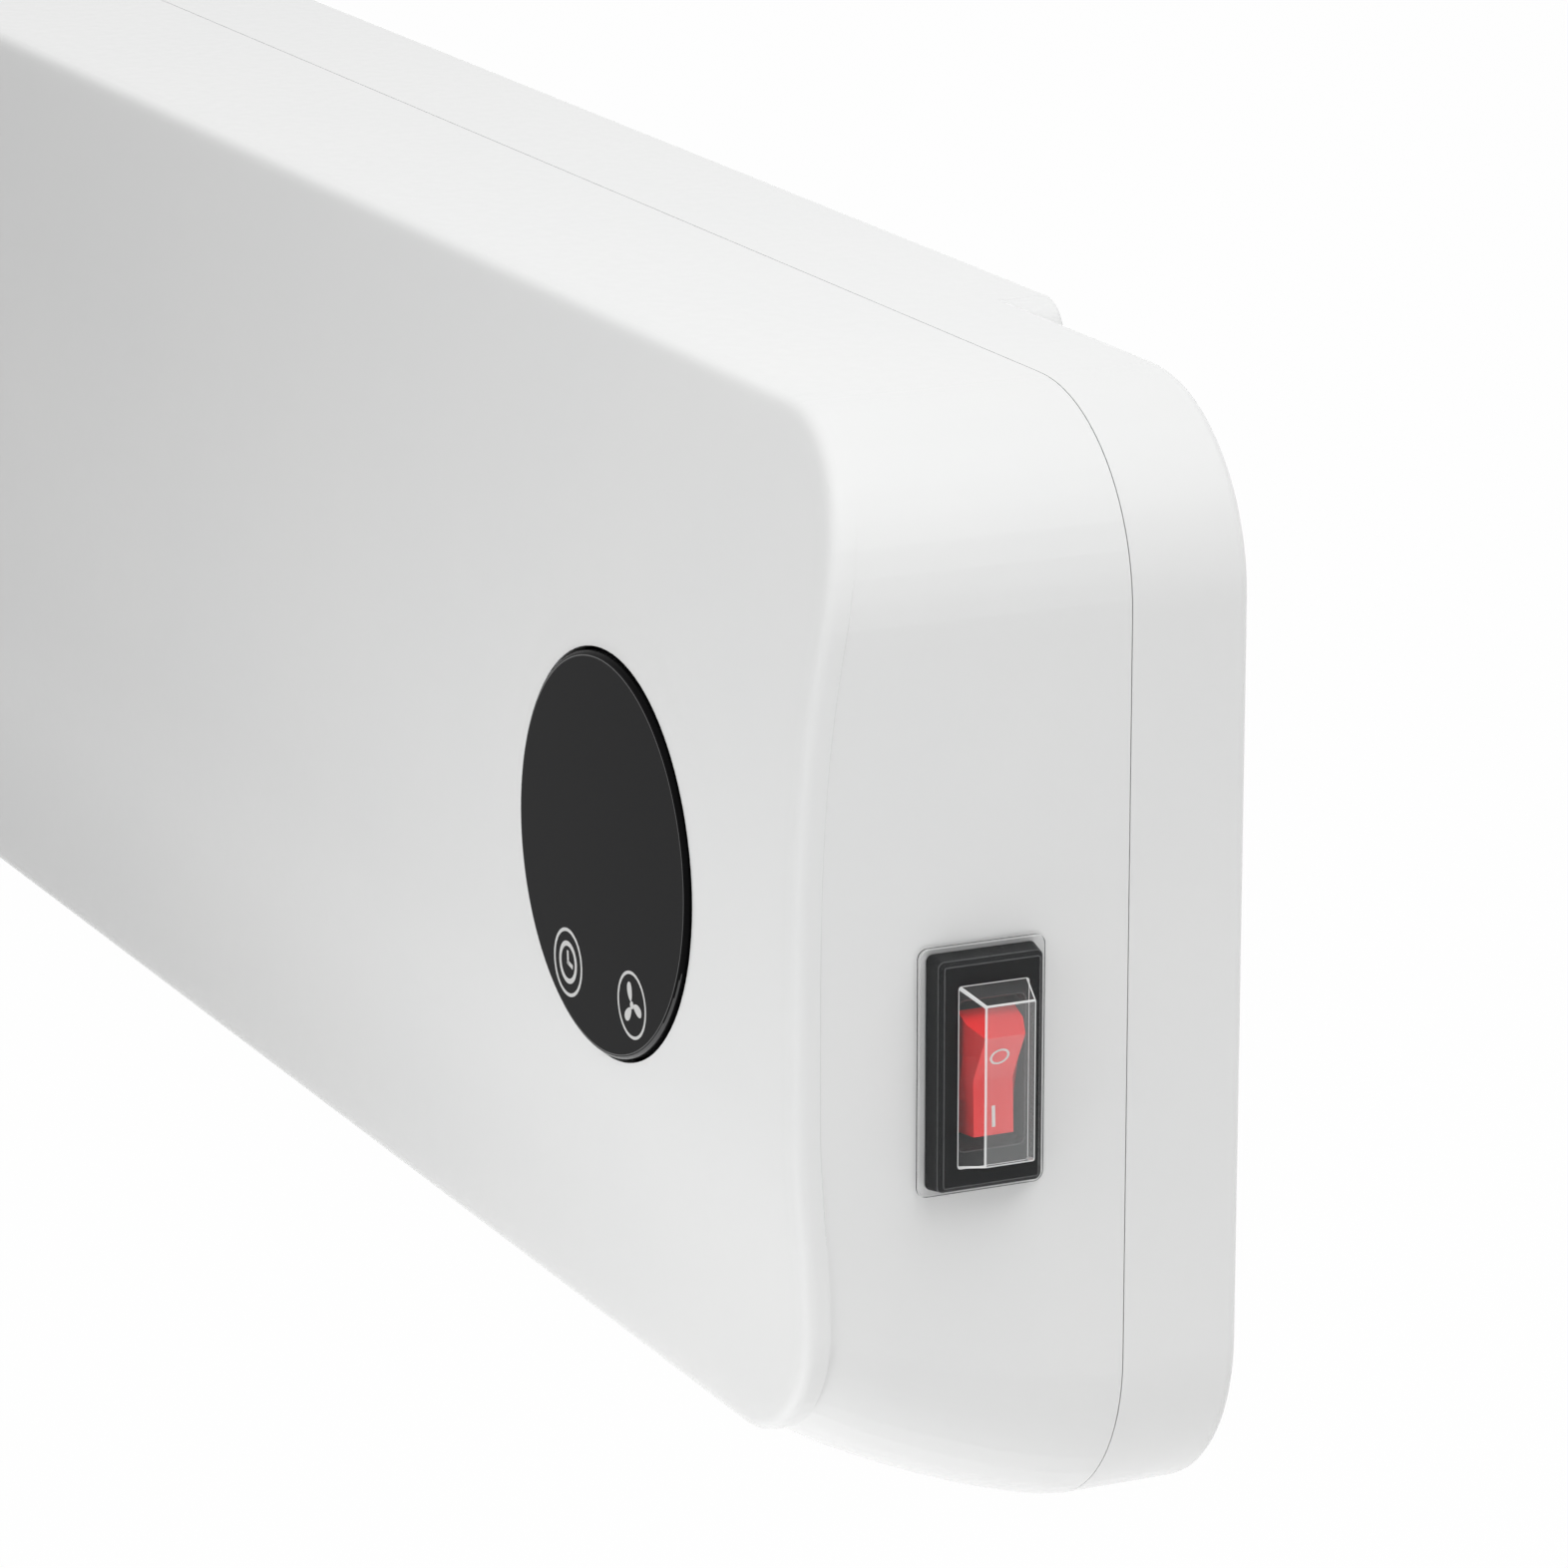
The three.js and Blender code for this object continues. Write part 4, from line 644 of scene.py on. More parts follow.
def settle_piece(obj: Piece, body: Body, finish: Finish, slot: str, *nodes: str) -> Piece:
    """Dress a finished piece, tie it to its body and let it stand for CAD nodes.

    Args:
        obj: The finished piece.
        body: Body that it rides on.
        finish: Its surface.
        slot: Name of a material slot; not used.
        nodes: CAD nodes that it stands for.

    Returns:
        The same piece.
    """
    finish.dress(obj)
    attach(obj, body.value)
    if nodes:
        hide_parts(*nodes)
    log.info("%s rides on %s, %d faces", obj.name, body.value, len(obj.data.polygons))
    return obj


# ------------------------------------------------------------------ case


@dataclass
class CaseForm:
    """Outer form of the case that both mouldings share."""

    length: float = 540.0
    height: float = 197.0
    front_depth: float = 61.0
    rear_depth: float = 22.2
    wall: float = 2.5
    corner: float = 34.0
    chin_corner: float = 22.5
    chin_rise: float = 24.0
    chin_bend: float = 1.3
    edge: float = 4.5
    seam: float = 0.4
    crown_height: float = 95.0
    crown_drop: float = 14.5
    crown_bend: float = 3.0
    waist_height: float = 46.0
    waist_reach: float = 38.0
    waist_depth: float = 2.0
    block_depth: float = 8.4
    block_height: float = 42.0
    block_end_gap: float = 83.6
    block_radius: float = 7.0
    outlet_x: tuple[float, float] = (-190.0, 110.0)
    outlet_y: tuple[float, float] = (-49.4, -12.0)
    intake_x: tuple[float, float] = (-184.0, 104.0)
    intake_z: tuple[float, float] = (88.0, 148.0)
    pad: tuple[float, float] = (180.0, 24.0)
    inlet: tuple[float, float] = (205.0, 12.8)
    keyhole_z: float = 171.0
    screw_inset: float = 24.0
    screw_sink: float = 8.0

    @property
    def half(self) -> float:
        """Half the length."""
        return self.length / 2

    def face_y(self, z: float) -> float:
        """Give the front face's y at a height: a shallow S that leans back towards the top.

        Args:
            z: Height.

        Returns:
            The depth of the face there.
        """
        crown = self.crown_drop * (max(z - self.crown_height, 0) / (self.height - self.crown_height)) ** self.crown_bend
        across = min(abs(z - self.waist_height) / self.waist_reach, 1)
        waist = self.waist_depth * math.cos(math.pi / 2 * across) ** 2
        return -self.front_depth + crown + waist

    def chin_z(self, y: float) -> float:
        """Give the underside's height at a depth."""
        reach = -self.face_y(self.chin_rise) - self.edge
        return self.chin_rise * min(max(-y / reach, 0), 1) ** self.chin_bend

    def screw_places(self) -> list[tuple[float, float]]:
        """List the x and z of the four case screws."""
        inset = self.screw_inset
        return [(x, z) for x in (-self.half + inset, self.half - inset) for z in (inset, self.height - inset)]


@dataclass
class FrontMoulding:
    """Front half of the case, with its face, ends, top and underside in one shell."""

    form: CaseForm
    groove: float = 0.7
    groove_start: float = 0.7
    groove_z: float = 46.0
    groove_spread: float = 26.0
    groove_share: float = 0.24
    groove_end_z: float = 165.0
    groove_fade: float = 25.0
    lip: float = 0.8
    rim_margin: float = 1.5
    seat_share: float = 0.62
    seat_reach: float = 44.5
    seat_fade: float = 7.5

    def build(self) -> None:
        """Model the shell and stand it for the CAD one."""
        form = self.form
        deep = form.front_depth
        shell = Bench.block("front_moulding", (-form.half, -deep, 0), (form.half, 0, form.height))
        Bench.round_edges(shell, along(Axis.Y), form.corner, 20)
        Bench.round_edges(shell, at(Axis.Y, -deep), form.edge, 6)
        Bench.shape(shell, self.tighten)
        crease = deep - form.edge
        Bench.slice_up(shell, Axis.Z, [6 + 4.2 * i for i in range(15)] + [68 + 1.9 * i for i in range(45)])
        Bench.slice_up(shell, Axis.Z, [157 + 4.2 * i for i in range(9)])
        Bench.slice_up(shell, Axis.X, [-259 + 14 * i for i in range(29)] + [145 + 2.0 * i for i in range(51)])
        bands = (0.06, 0.14, 0.24, 0.36, 0.48, 0.6, 0.72, 0.82, 0.9, 0.95, 0.98, 0.996)
        Bench.slice_up(shell, Axis.Y, [-crease * share for share in bands])
        Bench.pick(shell, "FACE", at(Axis.Y, 0))
        bpy.ops.mesh.delete(type="FACE")
        Bench.leave()
        Bench.shape(shell, self.warp)
        Bench.modify(shell, "SOLIDIFY", thickness=form.wall * MM, offset=-1.0, use_even_offset=True)
        self.cut(shell)
        Bench.soften(shell, 0.0, angle=30.0)
        settle_piece(shell, Body.HEATER, WHITE_ABS, "white_abs", "front_housing")

    def tighten(self, p: Vector) -> Vector:
        """Pull the rim's quarter round out towards its corner, so that it turns sharply between two near flats.

        Args:
            p: Point of the rounded block.

        Returns:
            Where it goes.
        """
        form = self.form
        depth = form.front_depth + p.y
        if depth >= form.edge:
            return p
        middle_x, low, high = form.half - form.corner, form.corner, form.height - form.corner
        anchor = Vector((min(max(p.x, -middle_x), middle_x), 0, min(max(p.z, low), high)))
        away = Vector((p.x - anchor.x, 0, p.z - anchor.z))
        inset = form.corner - away.length
        if inset < form.edge:
            tight = form.edge * (1 - math.sqrt(1 - max(inset, 0) / form.edge))
            p = p + away.normalized() * (inset - tight)
            p.y = form.edge * (1 - math.sqrt(1 - max(depth, 0) / form.edge)) - form.front_depth
        return p

    def inset(self, distance: float, radius: float) -> float:
        """Carry a distance from the outline over to a corner of another radius, keeping the edge strip.

        Args:
            distance: Distance from the outline.
            radius: Radius of the other corner.

        Returns:
            The distance there.
        """
        keep = self.form.edge + self.rim_margin
        if distance <= keep:
            return distance
        return keep + (distance - keep) * (radius - keep) / (self.form.corner - keep)

    def warp(self, p: Vector) -> Vector:
        """Turn a point of the rounded block into its place on the moulding.

        Args:
            p: Point of the rounded block.

        Returns:
            Where it goes.
        """
        form = self.form
        crease = form.front_depth - form.edge
        share = min(max(-p.y / crease, 0.0), 1.0)
        rise = form.chin_rise * share**form.chin_bend
        low_radius = form.corner + (form.chin_corner - form.corner) * share
        side = 1.0 if p.x >= 0 else -1.0
        x, z = abs(p.x), p.z
        corner, middle = form.corner, form.half - form.corner
        span = form.height - 2 * corner
        blend = min(max((z - corner) / span, 0.0), 1.0)
        radius = low_radius + (corner - low_radius) * blend
        if z < corner and x > middle:
            dx, dz = x - middle, corner - z
            away = math.hypot(dx, dz)
            reach = radius - self.inset(corner - away, radius) if away > 1e-6 else 0.0
            scale = reach / away if away > 1e-6 else 0.0
            x, z = form.half - radius + dx * scale, rise + radius - dz * scale
        else:
            if x > middle:
                x = form.half - self.inset(form.half - x, radius)
            else:
                x = x * (form.half - radius) / middle
            if z < corner:
                z = rise + self.inset(z, radius)
            elif z < form.height - corner:
                z = rise + low_radius + (z - corner) * (form.height - corner - rise - low_radius) / span
        top = form.face_y(z)
        if p.y >= -crease:
            y = share * (top + form.edge)
        else:
            y = p.y + form.front_depth + top
            y += self.seat(side * x, z, top)
        x, z = self.relief(x, z, share, p.y < -crease - 0.01)
        return Vector((side * x, y, z))

    def seat(self, x: float, z: float, top: float) -> float:
        """Lift the face a little towards the upright glass where it leans away behind it.

        Args:
            x: Place along the case.
            z: Height.
            top: The face's depth there.

        Returns:
            How far the face comes forward, as a shift in y.
        """
        away = math.hypot(x - DisplayUnit.X, z - DisplayUnit.Z)
        near = min(max((self.seat_reach - away) / self.seat_fade, 0.0), 1.0)
        seat = self.form.face_y(DisplayUnit.Z)
        return min(seat - top, 0.0) * self.seat_share * near * near * (3 - 2 * near)

    def relief(self, x: float, z: float, share: float, front: bool) -> tuple[float, float]:
        """Draw the sides in just behind the front panel's rim, so that the rim stands out as a fine line.

        Args:
            x: Place along the case, without its sign.
            z: Height.
            share: Share of the way from the joint line to the rim.
            front: Whether the point lies on the face.

        Returns:
            The drawn-in x and z.
        """
        if front or share < self.groove_start:
            return x, z
        form = self.form
        swell = ((share - self.groove_start) / (1 - self.groove_start)) ** 2
        if share > 0.998:
            swell = 0.0
        fade_low = math.exp(-(((z - self.groove_z) / self.groove_spread) ** 2)) if z > 30 else 0.55
        above = max(z - self.groove_end_z, 0.0)
        fade_high = self.groove_share * max(0.0, 1 - above / self.groove_fade)
        depth = self.groove * max(fade_low, fade_high) * swell
        if x > form.half - 6:
            x -= depth
        elif z < form.chin_rise + 8 and share > 0.85:
            z += self.lip * 0.6 * swell
        return x, z

    def cut(self, shell: Piece) -> None:
        """Cut the outlet, the display's seat and the switch's opening.

        Args:
            shell: The moulding.
        """
        form = self.form
        (left, right), (front, rear) = form.outlet_x, form.outlet_y
        outlet = Bench.block("outlet_cutter", (left, front, -2), (right, rear, form.chin_rise + form.wall))
        Bench.round_edges(outlet, along(Axis.Z), 1.5, 4)
        seat = Bench.drum("seat_cutter", DisplayUnit.centre(form), DisplayUnit.SEAT, 30, Axis.Y, 96)
        DisplayUnit.tilt(seat, form)
        y, z = SafetySwitch.Y, SafetySwitch.Z
        wide, tall = SafetySwitch.SNAP_BODY[0] + FIT, SafetySwitch.SNAP_BODY[1] + FIT
        snap = Bench.block("switch_cutter", (form.half - 5, y - wide, z - tall), (form.half + 2, y + wide, z + tall))
        Bench.boolean(shell, [outlet, seat, snap])


@dataclass
class RearMoulding:
    """Rear half of the case, with the raised block that hangs on the wall screws."""

    form: CaseForm
    keyhole_spacing: float = 200.0

    def build(self) -> None:
        """Model the shell and stand it for the CAD one."""
        form = self.form
        back = form.rear_depth + form.block_depth
        shell = self.layer("rear_moulding", 0, form.seam / 2, form.rear_depth, 24)
        Bench.round_edges(shell, at(Axis.Y, form.rear_depth), 2.0, 4)
        reach = form.half - form.block_end_gap
        top = form.height - 0.02
        block = Bench.block("hanging_block", (-reach, 17, form.height - form.block_height), (reach, back, top))
        Bench.round_edges(block, along(Axis.Y), form.block_radius, 10)
        Bench.round_edges(block, at(Axis.Y, back), 1.0, 3)
        Bench.boolean(shell, [block], "UNION")
        w = form.wall
        hollow = self.layer("hollow", w, -1, form.rear_depth - w, 24)
        pocket = Bench.block(
            "pocket", (-reach + w, 15, form.height - form.block_height + w), (reach - w, back - w, form.height - w)
        )
        Bench.round_edges(pocket, along(Axis.Y), form.block_radius - w, 6)
        Bench.boolean(shell, [hollow, pocket])
        posts = [Bench.drum("post", (x, 11.5, z), 5.9, 20.0, Axis.Y, 32) for x, z in form.screw_places()]
        Bench.boolean(shell, [self.lip(), *posts], "UNION")
        Bench.boolean(shell, self.openings(back))
        Bench.soften(shell, 0.35, 2, 40.0)
        Bench.level(shell, 60.0)
        settle_piece(shell, Body.HEATER, WHITE_ABS, "white_abs", "rear_housing")

    def layer(self, name: str, inset: float, start: float, end: float, steps: int = 20) -> Piece:
        """Add a slab with the case's outline.

        Args:
            name: Name of the slab.
            inset: How far it lies inside the outline, all round.
            start: Depth at which it starts.
            end: Depth at which it ends.
            steps: Number of faces round each corner.

        Returns:
            The slab.
        """
        form = self.form
        slab = Bench.block(name, (-form.half + inset, start, inset), (form.half - inset, end, form.height - inset))
        Bench.round_edges(slab, along(Axis.Y), form.corner - inset, steps)
        return slab

    def lip(self) -> Piece:
        """Make the lip behind the joint line that laps inside the front moulding.

        Returns:
            The lip.
        """
        gap, thick, reach, root_gap = self.form.wall + FIT, 1.3, 1.8, 2.3
        outer = self.layer("joint_lip", gap, -reach, 4)
        inner = self.layer("lip_hollow", gap + thick, -9, 9)
        Bench.boolean(outer, [self.layer("lip_root", root_gap, 1, 4)], "UNION")
        Bench.boolean(outer, [inner])
        return outer

    def openings(self, back: float) -> list[Piece]:
        """Make cutters for the keyholes, screw wells, pad holes, intake window and cord inlet.

        Args:
            back: Depth of the hanging block's back.

        Returns:
            The cutters.
        """
        form = self.form
        cutters = []
        z, neck_top = form.keyhole_z, 12.5
        for x in (-self.keyhole_spacing / 2, self.keyhole_spacing / 2):
            cutters.append(Bench.drum("keyhole", (x, back, z), 5.0, 12, Axis.Y, 40))
            neck = Bench.block("keyhole_neck", (x - 2.5, back - 6, z), (x + 2.5, back + 6, z + neck_top))
            Bench.round_edges(neck, lambda e: along(Axis.Y)(e) and e.verts[0].co.z > 5 * MM, 2.49, 8)
            cutters.append(neck)
        for x, z in form.screw_places():
            cutters.append(Bench.drum("well", (x, form.rear_depth, z), 3.9, 2 * form.screw_sink, Axis.Y, 32))
            cutters.append(Bench.drum("screw_hole", (x, 11, z), 1.8, 40, Axis.Y, 20))
        reach, z = form.pad
        for x in (-reach, reach):
            cutters.append(Bench.drum("pad_hole", (x, form.rear_depth, z), 2.9, 12, Axis.Y, 24))
        (left, right), (low, high) = form.intake_x, form.intake_z
        cutters.append(Bench.block("window", (left, form.rear_depth - 6, low), (right, form.rear_depth + 3, high)))
        cutters.append(Bench.drum("inlet", (*form.inlet, 1), 5.3, 12, Axis.Z, 40))
        return cutters


@dataclass
class BackFittings:
    """Grille, screws, pads and cord gland of the back and underside."""

    form: CaseForm
    slot: float = 6.0
    bar: float = 6.0
    border: float = 5.0

    def build(self) -> None:
        """Model every fitting."""
        self.grille()
        self.screws()
        self.pads()
        self.gland()

    def grille(self) -> None:
        """Model the slotted plate of the air intake."""
        form = self.form
        left, right, low, high = (end + side * FIT for end, side in zip((*form.intake_x, *form.intake_z), (1, -1) * 2))
        plate = Bench.block("back_grille", (left, form.rear_depth - form.wall, low), (right, form.rear_depth, high))
        pitch = self.slot + self.bar
        count = int((right - left - 2 * self.border + self.bar) // pitch)
        first = (left + right) / 2 - (count * pitch - self.bar) / 2
        tall = (high - low - self.border * 3) / 2
        slot = Bench.block(
            "grille_slots", (first, form.rear_depth - 6, low + self.border),
            (first + self.slot, form.rear_depth + 3, low + self.border + tall),
        )
        Bench.round_edges(slot, along(Axis.Y), 2.2, 5)
        Bench.repeat(slot, count, (pitch, 0, 0))
        Bench.repeat(slot, 2, (0, 0, tall + self.border))
        Bench.boolean(plate, [slot])
        Bench.soften(plate, 0.4, 2, 40.0)
        settle_piece(plate, Body.HEATER, WHITE_ABS_SATIN, "white_abs", "intake_grille")

    def screws(self) -> None:
        """Model one pan-head screw with a cross recess and copy it to the four wells."""
        places = self.form.screw_places()
        seat = self.form.rear_depth - self.form.screw_sink + FIT
        x, z = places[0]
        head = Bench.drum("case_fixing_1", (x, seat + 1.2, z), 3.6, 2.4, Axis.Y, 40)
        Bench.round_edges(head, at(Axis.Y, seat + 2.4), 1.0, 4)
        shank = Bench.drum("shank", (x, seat - 10.5, z), 1.5, 22, Axis.Y, 20)
        Bench.boolean(head, [shank], "UNION")
        arms = [
            Bench.block("recess", (x - 2.1, seat + 1.0, z - 0.45), (x + 2.1, seat + 4, z + 0.45)),
            Bench.block("recess", (x - 0.45, seat + 1.0, z - 2.1), (x + 0.45, seat + 4, z + 2.1)),
        ]
        Bench.boolean(head, arms)
        Bench.soften(head, 0.12, 2, 35.0)
        pieces = [head]
        for i, (u, v) in enumerate(places[1:], start=2):
            pieces.append(Bench.copy(head, f"case_fixing_{i}", (u - x, 0, v - z)))
        for i, piece in enumerate(pieces, start=1):
            settle_piece(piece, Body.HEATER, ZINC_STEEL, "steel", f"case_screw_{i}")

    def pads(self) -> None:
        """Model the two rubber pads that keep the lower back off the wall."""
        deep, gap = self.form.rear_depth, self.form.block_depth
        reach, z = self.form.pad
        pad = Bench.drum("wall_pad_left", (-reach, deep + (gap + FIT) / 2, z), 9.0, gap - FIT, Axis.Y, 64)
        Bench.round_edges(pad, at(Axis.Y, deep + gap), 1.0, 4)
        Bench.round_edges(pad, at(Axis.Y, deep + FIT), 0.5, 3)
        stem = Bench.drum("stem", (-reach, deep - 1.5, z), 2.6, 6.0, Axis.Y, 24)
        Bench.boolean(pad, [stem], "UNION")
        dimple = Bench.drum("dimple", (-reach, deep + gap, z), 5.0, 1.2, Axis.Y, 48)
        Bench.boolean(pad, [dimple])
        Bench.soften(pad, 0.2, 2, 35.0)
        twin = Bench.copy(pad, "wall_pad_right", (2 * reach, 0, 0))
        settle_piece(pad, Body.HEATER, RUBBER, "rubber", "standoff_pad_left")
        settle_piece(twin, Body.HEATER, RUBBER, "rubber", "standoff_pad_right")

    def gland(self) -> None:
        """Model the grommet in the underside that the supply cord enters by."""
        x, y = self.form.inlet
        flange = Bench.drum("cord_grommet", (x, y, -1.15), 7.4, 1.7, Axis.Z, 56)
        Bench.round_edges(flange, at(Axis.Z, -2), 0.8, 4)
        neck = Bench.drum("neck", (x, y, 1.4), 5.0, 5, Axis.Z, 48)
        inside = Bench.drum("inside", (x, y, 3.8), 6.4, 2.0, Axis.Z, 48)
        Bench.boolean(flange, [neck, inside], "UNION")
        Bench.boolean(flange, [Bench.drum("bore", (x, y, 1), 3.3, 16, Axis.Z, 40)])
        Bench.soften(flange, 0.25, 2, 35.0)
        settle_piece(flange, Body.HEATER, RUBBER, "rubber", "cable_gland")


# ------------------------------------------------------------------ display


@dataclass
class DisplayUnit:
    """Round black glass with its printed touch marks."""

    form: CaseForm
    radius: float = 35.3
    proud: float = 0.95
    thickness: float = 5.2
    bevel: float = 0.92

    X: ClassVar[float] = 193.6
    Z: ClassVar[float] = 109.8
    LEAN: ClassVar[float] = math.radians(0.7)
    SEAT: ClassVar[float] = 36.0  # radius of the hole that it lies in

    @classmethod
    def centre(cls, form: CaseForm) -> Vector:
        """Give the middle of the glass's seat on the front face."""
        return Vector((cls.X, form.face_y(cls.Z), cls.Z))

    @classmethod
    def tilt(cls, obj: Piece, form: CaseForm) -> Piece:
        """Lean a piece back with the glass, about the middle of the glass."""
        return Bench.swing(obj, cls.centre(form), -cls.LEAN, Axis.X)

    @property
    def front(self) -> float:
        """Depth of the glass's front."""
        return self.centre(self.form).y - self.proud

    def build(self) -> None:
        """Model the glass and its marks."""
        middle, front = self.centre(self.form), self.front
        disc = Bench.drum(
            "touch_glass", (middle.x, front + self.thickness / 2, middle.z), self.radius, self.thickness, Axis.Y, 160
        )
        Bench.round_edges(disc, at(Axis.Y, front), self.bevel, 8)
        # The bevel and the lower side faces get painted reflection, the other side faces painted shade.
        edge, side = [], []
        flat, steep, low = 0.9999, 0.98, 0.3
        for face in disc.data.polygons:
            lean = -face.normal.y
            if steep < lean < flat or (low < lean <= steep and face.normal.z < -low):
                edge.append(face.index)
            elif abs(lean) <= steep:
                side.append(face.index)
        self.tilt(disc, self.form)
        Bench.soften(disc, 0.0, angle=25.0)
        settle_piece(disc, Body.HEATER, BLACK_GLASS, "black_glass", "display_glass")
        trim(disc, GLASS_EDGE_SHEEN, edge)
        # The upright side faces get painted shade.
        trim(disc, GLASS_SIDE_SHADE, side)
        self.print_marks()

    def print_marks(self) -> None:
        """Print the timer mark and the fan mark on the glass."""
        timer, fan = (-13.5, -22.8), (13.7, -23.0)
        parts = [
            self.ring("timer_ring", timer, 6.1, 0.62),
            self.ring("timer_dial", timer, 3.8, 0.9),
            self.stroke("timer_hand_long", timer, (-0.2, 2.1), 0.7),
            self.stroke("timer_hand_short", timer, (2.0, -0.45), 0.8),
            self.ring("fan_ring", fan, 5.95, 0.55),
            self.dot("fan_hub", fan, 0.7, 32),
        ]
        for i in range(3):
            parts.append(self.blade(f"fan_blade_{i + 1}", fan, math.radians(90 + 120 * i)))
        for part in parts:
            self.tilt(part, self.form)
            settle_piece(part, Body.HEATER, PRINT_GREY, "black_glass")

    def place(self, at_uv: Point, out: float = 0.0) -> Point:
        """Find a place on the glass, given from its middle, and how far out it stands."""
        return (self.X + at_uv[0], self.front - out, self.Z + at_uv[1])

    def dot(self, name: str, at_uv: Point, radius: float, sides: int) -> Piece:
        """Print a filled dot."""
        return Bench.drum(name, self.place(at_uv, 0.03), radius, 0.05, Axis.Y, sides)

    def ring(self, name: str, at_uv: Point, radius: float, width: float) -> Piece:
        """Print a ring of a given outer radius and line width.

        Args:
            name: Name of the mark.
            at_uv: Its middle, from the middle of the glass.
            radius: Outer radius.
            width: Line width.

        Returns:
            The mark.
        """
        mark = self.dot(name, at_uv, radius, 64)
        Bench.boolean(mark, [Bench.drum("core", self.place(at_uv), radius - width, 2, Axis.Y, 64)])
        return mark

    def stroke(self, name: str, at_uv: Point, to_uv: Point, width: float) -> Piece:
        """Print a straight stroke from a point along a direction.

        Args:
            name: Name of the mark.
            at_uv: Where it starts, from the middle of the glass.
            to_uv: Its direction and length.
            width: Line width.

        Returns:
            The mark.
        """
        u, y, v = self.place(at_uv)
        half, length = width / 2, math.hypot(*to_uv)
        bar = Bench.block(name, (u - half, y - 0.055, v - half), (u + half, y - 0.005, v + length))
        return Bench.swing(bar, (u, y, v), math.atan2(to_uv[0], to_uv[1]))

    def blade(self, name: str, at_uv: Point, angle: float) -> Piece:
        """Print one rounded blade of the fan mark.

        Args:
            name: Name of the mark.
            at_uv: The fan's middle, from the middle of the glass.
            angle: Radians.

        Returns:
            The mark.
        """
        u, y, v = self.place(at_uv)
        leaf = self.dot(name, at_uv, 1.0, 40)

        def petal(p: Vector) -> Vector:
            """Stretch a dot to a leaf that leans to one side.

            Args:
                p: Point of the dot.

            Returns:
                Where it goes.
            """
            a, b = (p.x - u), (p.z - v)
            reach = 2.35 + 1.65 * b
            lean = 0.9 * (b + 1) * 0.35
            return Vector((u + a * (0.95 + 0.25 * b) + lean, p.y, v + reach))

        Bench.shape(leaf, petal)
        return Bench.swing(leaf, (u, y, v), angle)


# ------------------------------------------------------------------ switch


